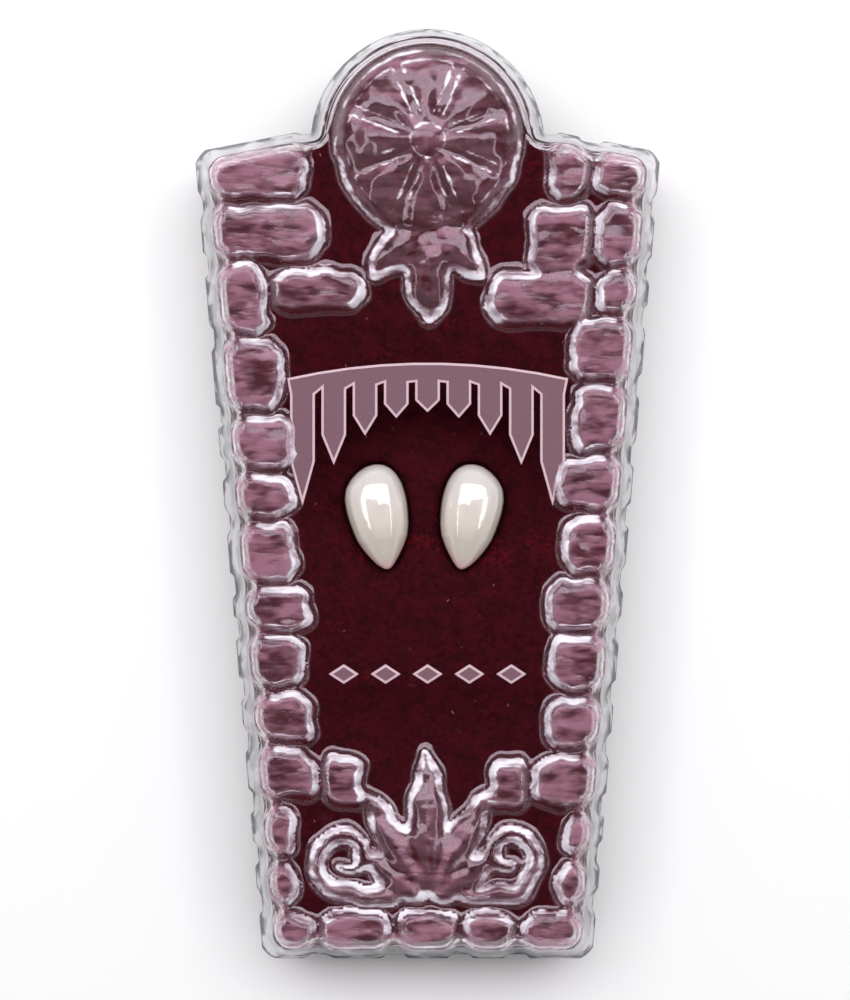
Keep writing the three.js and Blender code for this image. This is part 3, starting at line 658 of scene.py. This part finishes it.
class FANGCASE_OT_tray(bpy.types.Operator):
    """Build the plain clear tray under the insert"""

    bl_idname = "fang_case.tray"
    bl_label = "Base Tray"

    def execute(self, context):
        sizes = context.scene.fang_case.cover
        target = ray_target("base_tray")
        low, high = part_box("base_tray")
        outline = ring_average(even_ring(bottom_outline("base_tray"), 420), 1)
        normal = outward(outline)
        rings = []
        for z in np.linspace(low.z + sizes.sheet, high.z - 0.02 * MM, 6):
            starts = outline + normal * 4 * MM
            rings.append([ray_hit(target, (*at, z), (*-out, 0)) for at, out in zip(starts, normal)])
        rings = np.array(rings)
        floor = []
        for inset, z in ((2.2, 0.0), (1.2, 0.0), (0.55, 0.05), (0.15, 0.25)):
            ring = outline - normal * inset * MM
            floor.append(np.column_stack([ring, np.full(len(ring), low.z + z * MM)]))
        rows = np.concatenate([np.array(floor), rings]).reshape(-1, 3)
        count = len(outline)
        mesh = bpy.data.meshes.new("tray_sheet")
        faces = quad_rows(len(floor) + len(rings), count)
        faces.append(tuple(reversed(range(count))))
        mesh.from_pydata(rows.tolist(), [], faces)
        piece = link(mesh, "tray_sheet")
        thicken = piece.modifiers.new("Sheet", "SOLIDIFY")
        thicken.thickness = sizes.sheet
        thicken.offset = -1
        baked_modifiers(piece)
        finished(piece, tray_material(), "tray_plastic", "base_tray")
        return {"FINISHED"}


# Fang caps


class FANGCASE_OT_caps(bpy.types.Operator):
    """Build the two hollow fang caps"""

    bl_idname = "fang_case.caps"
    bl_label = "Fang Caps"

    def execute(self, context):
        sizes = context.scene.fang_case.caps
        for node in FANG_NODES:
            piece = rounded_copy(node, node + "_pearl", sizes.grain, sizes.polish_rounds)
            low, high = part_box(node)
            finished(piece, pearl_material(node, low, high), "pearl_acrylic", node)
        return {"FINISHED"}


# Velvet insert


class FANGCASE_OT_velvet(bpy.types.Operator):
    """Build the flocked insert with its nap and lint"""

    bl_idname = "fang_case.velvet"
    bl_label = "Velvet Insert"

    def execute(self, context):
        sizes = context.scene.fang_case.velvet
        piece = rounded_copy("velvet_insert", "velvet_pad", sizes.grain, sizes.soften_rounds)
        low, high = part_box("velvet_insert")
        for vertex in piece.data.vertices:
            at = vertex.co / MM
            share = smooth_step(high.z - 4 * MM, high.z - 1 * MM, vertex.co.z)
            swell = noise.noise(at * 0.09) * 0.3 + noise.noise(at * 0.8) * 0.12
            vertex.co.z += share * (swell - 0.2) * MM
        velvet = velvet_material()
        finished(piece, velvet, "red_velvet", "velvet_insert")
        nap = scattered(piece, "velvet_nap", velvet, sizes.nap_density, sizes.nap_length, 0.05 * MM, 0.5, 4)
        finished(nap, velvet, "red_velvet")
        lint = scattered(
            piece, "velvet_lint", lint_material(), sizes.lint_density, 0.5 * MM, 0.09 * MM, 1.4, 11
        )
        finished(lint, lint_material(), "red_velvet")
        return {"FINISHED"}


def scattered(ground, name, material, density, length, thickness, lean, seed):
    """Short fibres strewn over the top of a piece by Geometry Nodes, as a mesh of their own."""
    tree = bpy.data.node_groups.new(name, "GeometryNodeTree")
    face = tree.interface
    face.new_socket("Geometry", in_out="INPUT", socket_type="NodeSocketGeometry")
    face.new_socket("Geometry", in_out="OUTPUT", socket_type="NodeSocketGeometry")
    wanted = {"Density": density, "Length": length, "Thickness": thickness, "Lean": lean}
    keys = {}
    for label, value in wanted.items():
        socket = face.new_socket(label, in_out="INPUT", socket_type="NodeSocketFloat")
        socket.default_value = value
        keys[label] = socket.identifier
    nodes = Plumbing(tree)
    source = nodes.add("NodeGroupInput")
    normal = nodes.add("GeometryNodeInputNormal")
    split = nodes.add("ShaderNodeSeparateXYZ", inputs={"Vector": normal.outputs["Normal"]})
    faces_up = nodes.add(
        "ShaderNodeMath", {"operation": "GREATER_THAN"}, {0: split.outputs["Z"], 1: 0.4}
    )
    spots = nodes.add(
        "GeometryNodeDistributePointsOnFaces",
        {},
        {
            "Mesh": source.outputs["Geometry"],
            "Selection": faces_up.outputs[0],
            "Density": source.outputs["Density"],
            "Seed": seed,
        },
    )
    fibre = nodes.add(
        "GeometryNodeMeshCone",
        {"fill_type": "NGON"},
        {
            "Vertices": 3,
            "Radius Top": 0.0,
            "Radius Bottom": source.outputs["Thickness"],
            "Depth": source.outputs["Length"],
        },
    )
    turn = nodes.add(
        "FunctionNodeRandomValue",
        {"data_type": "FLOAT_VECTOR"},
        {0: (-1, -1, 0), 1: (1, 1, 2 * math.pi), "Seed": seed},
    )
    bend = nodes.add(
        "ShaderNodeVectorMath",
        {"operation": "SCALE"},
        {0: turn.outputs[0], "Scale": source.outputs["Lean"]},
    )
    size = nodes.add(
        "FunctionNodeRandomValue", {"data_type": "FLOAT"}, {2: 0.5, 3: 1.3, "Seed": seed + 1}
    )
    sown = nodes.add(
        "GeometryNodeInstanceOnPoints",
        {},
        {
            "Points": spots.outputs["Points"],
            "Instance": fibre.outputs["Mesh"],
            "Rotation": bend.outputs[0],
            "Scale": size.outputs[1],
        },
    )
    real = nodes.add("GeometryNodeRealizeInstances", {}, {"Geometry": sown.outputs["Instances"]})
    dressed = nodes.add(
        "GeometryNodeSetMaterial", {}, {"Geometry": real.outputs[0], "Material": material}
    )
    nodes.add("NodeGroupOutput", {}, {"Geometry": dressed.outputs[0]})
    piece = link(ground.data.copy(), name)
    piece.data.materials.clear()
    sow = piece.modifiers.new(name, "NODES")
    sow.node_group = tree
    for label, value in wanted.items():
        sow[keys[label]] = value
    baked_modifiers(piece)
    return piece


# Node trees


class Plumbing:
    """Adds nodes to a tree, each from its type, its settings and what feeds its sockets."""

    def __init__(self, tree):
        self.tree = tree

    def add(self, kind, settings=None, inputs=None):
        node = self.tree.nodes.new(kind)
        for name, value in (settings or {}).items():
            setattr(node, name, value)
        for name, value in (inputs or {}).items():
            value = value.socket if isinstance(value, Value) else value
            socket = node.inputs[name]
            if isinstance(value, bpy.types.NodeSocket):
                self.tree.links.new(value, socket)
            elif socket.type == "RGBA" and len(value) == 3:
                socket.default_value = (*value, 1)
            else:
                socket.default_value = value
        return node


class Value:
    """A socket's number, which Python's operators turn into Math nodes."""

    def __init__(self, plumbing, socket):
        self.plumbing = plumbing
        self.socket = socket

    def math(self, operation, first, second=0.0):
        node = self.plumbing.add("ShaderNodeMath", {"operation": operation}, {0: first, 1: second})
        return Value(self.plumbing, node.outputs[0])

    def __add__(self, other):
        return self.math("ADD", self, other)

    def __sub__(self, other):
        return self.math("SUBTRACT", self, other)

    def __rsub__(self, other):
        return self.math("SUBTRACT", other, self)

    def __mul__(self, other):
        return self.math("MULTIPLY", self, other)

    __radd__ = __add__
    __rmul__ = __mul__

    def larger(self, other):
        return self.math("MAXIMUM", self, other)

    def between(self, low, high, start=0.0, end=1.0):
        """Runs from start to end as the value goes from low to high, easing in and out."""
        node = self.plumbing.add(
            "ShaderNodeMapRange",
            {"interpolation_type": "SMOOTHSTEP"},
            {"Value": self, "From Min": low, "From Max": high, "To Min": start, "To Max": end},
        )
        return Value(self.plumbing, node.outputs["Result"])


class Finish(Plumbing):
    """A material's node tree, with the patterns that the finishes share."""

    def __init__(self, name):
        self.material = bpy.data.materials.new(name)
        self.material.use_nodes = True
        super().__init__(self.material.node_tree)
        self.tree.nodes.clear()
        self.place = self.add("ShaderNodeTexCoord").outputs["Object"]

    def noise(self, size, detail=2.0, roughness=0.5, stretch=(1, 1, 1), turn=0.0):
        """Cloudy noise whose patches are about size across, in metres."""
        mapped = self.add(
            "ShaderNodeMapping",
            {},
            {"Vector": self.place, "Rotation": (0, 0, turn), "Scale": tuple(s / size for s in stretch)},
        )
        node = self.add(
            "ShaderNodeTexNoise",
            {},
            {"Vector": mapped.outputs[0], "Scale": 1.0, "Detail": detail, "Roughness": roughness},
        )
        return Value(self, node.outputs["Fac"])

    def part(self, axis):
        """How far along X, Y or Z a point of the piece lies."""
        split = self.add("ShaderNodeSeparateXYZ", {}, {"Vector": self.place})
        return Value(self, split.outputs[axis])

    def attribute(self, name):
        node = self.add("ShaderNodeAttribute", {"attribute_name": name})
        return Value(self, node.outputs["Fac"])

    def blend(self, share, first, second):
        node = self.add("ShaderNodeMix", {"data_type": "RGBA"}, {0: share, 6: first, 7: second})
        return node.outputs[2]

    def bump(self, height, distance):
        return self.add("ShaderNodeBump", {}, {"Height": height, "Distance": distance}).outputs[0]

    def principled(self, **inputs):
        names = {key.replace("_", " ").title().replace("Ior", "IOR"): v for key, v in inputs.items()}
        return self.add("ShaderNodeBsdfPrincipled", {}, names).outputs[0]

    def mixed(self, share, first, second):
        return self.add("ShaderNodeMixShader", {}, {0: share, 1: first, 2: second}).outputs[0]

    def lamps_through(self, glass, tint):
        """Glass that lets lamps and scattered light pass straight, so that what it covers is lit."""
        path = self.add("ShaderNodeLightPath")
        rays = Value(self, path.outputs["Is Shadow Ray"]).larger(path.outputs["Is Diffuse Ray"])
        open_way = self.add("ShaderNodeBsdfTransparent", {}, {"Color": tint})
        return self.mixed(rays, glass, open_way.outputs[0])

    def done(self, shader):
        self.add("ShaderNodeOutputMaterial", {}, {"Surface": shader})
        return self.material


# Materials


def colours():
    return bpy.context.scene.fang_case.colours


def clear_sheet_material():
    """Clear sheet with painted highlights along the stones' edges and the ornament's lines, hazy and
    brushed on the stones, with painted reflection streaks and a dark foot on its walls.
    """
    finish = Finish("clear_sheet")
    tones = colours()
    edge = finish.attribute("painted_highlight")
    haze = finish.attribute("haze")
    wall = finish.attribute("wall")
    rim = finish.attribute("rim")
    strokes = finish.noise(1.7 * MM, 2, 0.6, (0.3, 1, 1), 0.12)
    clouds = finish.noise(4.5 * MM, 2, 0.55)
    brushed = (strokes * 0.7 + clouds * 0.3).between(0.38, 0.62)
    # Painted highlight bands, with ragged edges and uneven brightness
    ragged = (edge + strokes * 0.9 + clouds * 0.8 - 0.85).between(0.3, 1.0)
    white = ragged * (strokes * 0.6 + clouds * 0.4).between(0.36, 0.6, 0.5, 1.0)
    mauve = haze * (brushed * 0.48 + 0.06)
    # Painted reflections on the side walls: dark streaks, more of them low down, and pale streaks, more of
    # them high up, standing for what the clear wall reflects and refracts; the rim gets the dark foot,
    # partly painted shade
    drawn = finish.noise(2.6 * MM, 1, 0.5, (1, 1, 0.3))
    height = finish.part("Z")
    low = height.between(3 * MM, 12 * MM, 0.64, 0.15)
    high = height.between(9 * MM, 15 * MM, 0.04, 0.24)
    pale = drawn.between(0.48, 0.6)
    dark = drawn.between(0.42, 0.55, 1.0, 0.0)
    grey = (wall * (dark * low + pale * high + 0.06)).larger(rim * 0.95)
    relief = finish.bump(haze * (clouds * 0.6 + brushed * 0.4), 0.12 * MM)
    glass = finish.principled(
        base_color=tones.clear_tint,
        roughness=haze * 0.14 + 0.015,
        ior=1.52,
        specular_tint=(1.0, 0.84, 0.97),
        transmission_weight=1.0,
        normal=relief,
    )
    side = finish.blend(pale * (1 - rim), tones.wall_dark, tones.wall_grey)
    milk = finish.principled(
        base_color=finish.blend(wall, finish.blend(white, tones.haze_mauve, tones.painted_highlight), side),
        roughness=0.3,
        specular_ior_level=0.0,
        normal=relief,
    )
    share = white.larger(mauve).larger(grey)
    return finish.done(finish.lamps_through(finish.mixed(share, glass, milk), tones.clear_tint))


def tray_material():
    """Plain clear sheet, scuffed a little."""
    finish = Finish("tray_clear")
    tint = colours().clear_tint
    scuffs = finish.noise(2.5 * MM, 5, 0.65).between(0.5, 0.75)
    glass = finish.principled(
        base_color=tint, roughness=scuffs * 0.2 + 0.05, ior=1.5, transmission_weight=1.0
    )
    return finish.done(finish.lamps_through(glass, tint))


def frost_material(name, colour, cover):
    """Frosted relief on the window, of a given colour, that covers what lies behind it by a share."""
    finish = Finish(name)
    tint = colours().clear_tint
    grain = finish.noise(0.5 * MM, 3, 0.6)
    milk = finish.principled(base_color=colour, roughness=0.45, normal=finish.bump(grain, 0.02 * MM))
    glass = finish.principled(base_color=tint, roughness=0.25, ior=1.5, transmission_weight=1.0)
    share = grain.between(0.2, 0.8, cover - 0.06, cover + 0.06)
    return finish.done(finish.mixed(share, finish.lamps_through(glass, tint), milk))


def velvet_material():
    """Dark red flock: mottled nap, with brighter flecks in patches and more of them on a band across the
    pad.
    """
    finish = Finish("red_flock")
    tones = colours()
    mottle = finish.noise(2.6 * MM, 5, 0.7)
    fleck = finish.noise(0.7 * MM, 2, 0.6)
    # A broad cloudy noise that gathers the brighter flecks into patches
    brushed = finish.noise(6 * MM, 2, 0.6)
    along = finish.part("Y")
    fleck_band = along.between(FLECK_BAND_Y - 5 * MM, FLECK_BAND_Y) * along.between(FLECK_BAND_Y, FLECK_BAND_Y + 5 * MM, 1.0, 0.0)
    dark = (mottle * 0.6 + fleck * 0.4).between(0.38, 0.6)
    base = finish.blend(dark, tones.velvet_dark, tones.velvet_red)
    bright = fleck.between(0.46, 0.68) * (brushed * 0.85 + fleck_band * 0.17).between(0.5, 0.68)
    colour = finish.blend(bright, base, tones.velvet_bright)
    nap = finish.bump(fleck + mottle * 0.8, 0.35 * MM)
    shader = finish.principled(
        base_color=colour,
        roughness=0.95,
        specular_ior_level=0.1,
        sheen_weight=0.05,
        sheen_roughness=0.4,
        sheen_tint=(0.7, 0.1, 0.16),
        normal=nap,
    )
    return finish.done(shader)


def lint_material():
    finish = Finish("pale_lint")
    pale = colours().lint_pale
    tone = finish.noise(3 * MM)
    colour = finish.blend(tone, pale, tuple(0.5 * c for c in pale))
    return finish.done(finish.principled(base_color=colour, roughness=0.8))


def pearl_material(node, low, high):
    """Polished pearl acrylic: cream at the tip, greyer at the gum end, with a painted pink reflection of
    the red velvet low on its sides.
    """
    finish = Finish(node + "_acrylic")
    tones = colours()
    clouds = finish.noise(4 * MM, 2)
    greying = (finish.part("Y") + (clouds - 0.5) * 3 * MM).between(low.y * 0.55, high.y * 0.7)
    body = finish.blend(greying, tones.pearl_cream, tones.pearl_grey)
    # Painted pink reflection of the red velvet, strongest low on the sides near the pad
    velvet_bounce = finish.part("Z").between(low.z + 2.6 * MM, low.z + 5.2 * MM, 0.75, 0.0)
    pores = finish.noise(0.35 * MM, 2)
    shader = finish.principled(
        base_color=finish.blend(velvet_bounce, body, tones.pearl_velvet_bounce),
        roughness=finish.noise(1.5 * MM, 2).between(0.3, 0.7, 0.06, 0.1),
        ior=1.5,
        specular_ior_level=1.0,
        subsurface_weight=0.2,
        subsurface_scale=0.6 * MM,
        subsurface_radius=(1.0, 0.7, 0.5),
        coat_weight=1.0,
        coat_ior=1.8,
        coat_roughness=0.03,
        normal=finish.bump(pores, 0.0015 * MM),
    )
    return finish.done(shader)


# Stage


class FANGCASE_OT_stage(bpy.types.Operator):
    """Set the pale table, the lamps and the camera"""

    bl_idname = "fang_case.stage"
    bl_label = "Stage"

    def execute(self, context):
        sizes = context.scene.fang_case.stage
        self.table()
        self.room(sizes)
        self.lamps(sizes)
        self.camera(sizes)
        context.scene.view_settings.view_transform = "Standard"
        return {"FINISHED"}

    @staticmethod
    def table():
        reach = 6
        mesh = bpy.data.meshes.new("table")
        corners = [(-reach, -reach, 0), (reach, -reach, 0), (reach, reach, 0), (-reach, reach, 0)]
        mesh.from_pydata(corners, [], [(0, 1, 2, 3)])
        table = link(mesh, "table")
        finish = Finish("pale_table")
        white = colours().table_white
        tone = finish.noise(300 * MM, 2).between(0.3, 0.7)
        colour = finish.blend(tone, white, tuple(0.98 * c for c in white))
        table.data.materials.append(finish.done(finish.principled(base_color=colour, roughness=0.7)))

    @staticmethod
    def room(sizes):
        """Pale light from all round, with a dark patch overhead that the flat window mirrors."""
        world = bpy.data.worlds.new("room")
        world.use_nodes = True
        bpy.context.scene.world = world
        nodes = Plumbing(world.node_tree)
        world.node_tree.nodes.clear()
        place = nodes.add("ShaderNodeTexCoord").outputs["Generated"]
        up = nodes.add("ShaderNodeSeparateXYZ", {}, {"Vector": place}).outputs["Z"]
        horizon = Value(nodes, up).between(0.02, 0.2, 2.0, 0.35)
        ceiling = Value(nodes, up).between(0.45, 0.7, 0.0, 0.7)
        shade = Value(nodes, up).between(0.88, 0.97, sizes.room_light, 0.0) * (horizon + ceiling)
        light = nodes.add("ShaderNodeBackground", {}, {"Color": (1, 1, 1), "Strength": shade})
        nodes.add("ShaderNodeOutputWorld", {}, {"Surface": light.outputs[0]})

    @staticmethod
    def lamps(sizes):
        """A wide softbox beyond the head end, with a narrow leg that tapers off down either side."""
        rows = (
            # name, shape, across, along, width, length, radiance
            ("key", "RECTANGLE", 0.0, 0.52, 1.9, 0.76, 3.5),
            ("leg_left", "ELLIPSE", -0.84, -0.45, 0.22, 1.5, 3.2),
            ("leg_right", "ELLIPSE", 0.84, -0.45, 0.22, 1.5, 3.2),
        )
        for name, shape, across, along, width, length, radiance in rows:
            lamp = bpy.data.lights.new(name, "AREA")
            lamp.shape = shape
            lamp.size = width
            lamp.size_y = length
            area = width * length * (1 if shape == "RECTANGLE" else math.pi / 4)
            lamp.energy = radiance * sizes.lamp_power * math.pi * area
            holder = bpy.data.objects.new(name, lamp)
            bpy.context.scene.collection.objects.link(holder)
            holder.location = (across, along, sizes.lamp_height)

    @staticmethod
    def camera(sizes):
        """A long lens straight over the case, which sees the photograph's stretch of the table."""
        data = bpy.data.cameras.new("camera")
        data.sensor_fit = "VERTICAL"
        data.sensor_height = 24
        data.lens = data.sensor_height / 2 * sizes.camera_height / (sizes.view_height / 2)
        data.clip_end = 20
        camera = bpy.data.objects.new("camera", data)
        bpy.context.scene.collection.objects.link(camera)
        camera.location = (sizes.view_x, sizes.view_y, sizes.camera_height)
        bpy.context.scene.camera = camera


# Sizes


def length_property(name, description, default):
    return bpy.props.FloatProperty(
        name=name, description=description, default=default, unit="LENGTH", subtype="DISTANCE", precision=5
    )


def count_property(name, description, default):
    return bpy.props.IntProperty(name=name, description=description, default=default, min=1)


def plain_property(name, description, default):
    return bpy.props.FloatProperty(name=name, description=description, default=default)


def colour_property(name, description, default):
    return bpy.props.FloatVectorProperty(
        name=name, description=description, default=default, subtype="COLOR", min=0, max=1
    )


class CoverSizes(bpy.types.PropertyGroup):
    sheet: length_property("Sheet", "Thickness of the clear sheet", 0.6 * MM)
    window_z: length_property("Window level", "Height of the flat window's outer face", 19.6 * MM)
    emboss: length_property("Emboss", "Height of the low relief on the window", 0.45 * MM)
    stone_rise: length_property("Stone rise", "Height of a stone over the window", 3.4 * MM)
    softness: length_property("Softness", "How far the mould's edges are rounded off", 0.3 * MM)
    steepness: plain_property("Steepness", "Share by which the stones' flanks are drawn steep", 0.75)
    face_pitch: length_property("Face pitch", "Distance between points at its edges", 0.38 * MM)
    wander: length_property("Wander", "How far the stones' edges stray from their lines", 0.9 * MM)
    shoulder_drop: length_property("Shoulder drop", "Wall's top under the window's level", 1.6 * MM)
    ring_points: count_property("Ring points", "Points round the case", 560)
    soften_rounds: count_property("Soften rounds", "Rounds of smoothing", 3)
    chisel_depth: length_property("Chisel depth", "Depth of the tool marks on the stones", 0.42 * MM)


class CapSizes(bpy.types.PropertyGroup):
    grain: length_property("Grain", "Size of the fine mesh's faces", 0.17 * MM)
    polish_rounds: count_property("Polish rounds", "Rounds of smoothing", 34)


class VelvetSizes(bpy.types.PropertyGroup):
    grain: length_property("Grain", "Size of the pad's faces", 0.7 * MM)
    soften_rounds: count_property("Soften rounds", "Rounds of smoothing", 5)
    nap_density: plain_property("Nap density", "Fibres to a square metre", 2.4e6)
    nap_length: length_property("Nap length", "Length of a fibre", 0.55 * MM)
    lint_density: plain_property("Lint density", "Specks to a square metre", 9e3)


class ReliefSizes(bpy.types.PropertyGroup):
    height: length_property("Height", "Top of the relief over the window", 0.3 * MM)
    sink: length_property("Sink", "How far it reaches into the sheet", 0.12 * MM)
    crown: length_property("Crown", "Rise of its top within the light band", 0.04 * MM)
    edge_band: length_property("Edge band", "Width of the light band round it", 0.36 * MM)
    edge_round: length_property("Edge round", "Rounding of its edges", 0.05 * MM)


class StageSizes(bpy.types.PropertyGroup):
    room_light: plain_property("Room light", "Radiance of the room", 0.4)
    lamp_power: plain_property("Lamp power", "Strength of all the lamps", 1.0)
    lamp_height: length_property("Lamp height", "From the table to the lamps", 0.8)
    camera_height: length_property("Camera height", "From the table to the camera", 1.4)
    view_height: length_property("View height", "Stretch of the table in view, up the picture", 0.155)
    view_x: length_property("View X", "Where the picture's middle lies across the case", -0.39 * MM)
    view_y: length_property("View Y", "Where the picture's middle lies up the case", -1.0 * MM)


class Colours(bpy.types.PropertyGroup):
    clear_tint: colour_property("Clear tint", "What the clear sheet lets through", (0.985, 0.965, 0.98))
    haze_mauve: colour_property("Haze", "Haze on the brushed faces of the stones", (0.465, 0.225, 0.31))
    # Colour of the painted highlights along the stones' edges and the ornament's lines
    painted_highlight: colour_property("Edge white", "Sheet that is stretched over an edge", (0.9, 0.86, 0.95))
    # Wall grey and wall dark paint reflections on the side walls: pale and dark streaks, and the dark foot
    # that is partly painted shade
    wall_grey: colour_property("Wall grey", "Pale streaks of the side walls", (0.72, 0.75, 0.82))
    wall_dark: colour_property("Wall dark", "Dark streaks and foot of the side walls", (0.045, 0.05, 0.075))
    frost_fill: colour_property("Frost", "Frosted fill of the valance and lozenges", (0.177, 0.081, 0.112))
    frost_edge: colour_property("Frost edge", "Light band round them", (0.6, 0.42, 0.48))
    velvet_dark: colour_property("Velvet dark", "Flock in the dark of its mottle", (0.024, 0.0014, 0.0035))
    velvet_red: colour_property("Velvet red", "Flock in the light of its mottle", (0.05, 0.0024, 0.0065))
    # Colour of the brighter flecks
    velvet_bright: colour_property("Velvet bright", "Flecks brushed the other way", (0.1, 0.003, 0.009))
    lint_pale: colour_property("Lint", "Pale specks of lint", (0.55, 0.34, 0.36))
    pearl_cream: colour_property("Pearl cream", "Caps towards their tips", (0.82, 0.775, 0.675))
    pearl_grey: colour_property("Pearl grey", "Caps towards the gum end", (0.79, 0.765, 0.74))
    # Colour of the painted pink reflection of the red velvet, low on the caps' sides
    pearl_velvet_bounce: colour_property("Pearl blush", "Caps low on their sides", (0.85, 0.42, 0.47))
    table_white: colour_property("Table", "The pale table", (0.86, 0.86, 0.87))


class FangCaseSizes(bpy.types.PropertyGroup):
    cover: bpy.props.PointerProperty(type=CoverSizes)
    caps: bpy.props.PointerProperty(type=CapSizes)
    velvet: bpy.props.PointerProperty(type=VelvetSizes)
    relief: bpy.props.PointerProperty(type=ReliefSizes)
    stage: bpy.props.PointerProperty(type=StageSizes)
    colours: bpy.props.PointerProperty(type=Colours)


STEPS = (
    FANGCASE_OT_stage,
    FANGCASE_OT_cover,
    FANGCASE_OT_relief,
    FANGCASE_OT_tray,
    FANGCASE_OT_caps,
    FANGCASE_OT_velvet,
)


class FANGCASE_PT_panel(bpy.types.Panel):
    """Lists the steps in the order in which they run"""

    bl_label = "Fang Case"
    bl_space_type = "VIEW_3D"
    bl_region_type = "UI"
    bl_category = "Fang Case"

    def draw(self, context):
        for step in STEPS:
            self.layout.operator(step.bl_idname)


SIZES = (CoverSizes, ReliefSizes, CapSizes, VelvetSizes, StageSizes, Colours, FangCaseSizes)
CLASSES = (*SIZES, *STEPS, FANGCASE_PT_panel)


def register():
    for cls in CLASSES:
        bpy.utils.register_class(cls)
    bpy.types.Scene.fang_case = bpy.props.PointerProperty(type=FangCaseSizes)


def unregister():
    del bpy.types.Scene.fang_case
    for cls in reversed(CLASSES):
        bpy.utils.unregister_class(cls)


def main():
    register()
    for step in STEPS:
        group, name = step.bl_idname.split(".")
        getattr(getattr(bpy.ops, group), name)()


if __name__ == "__main__":
    main()
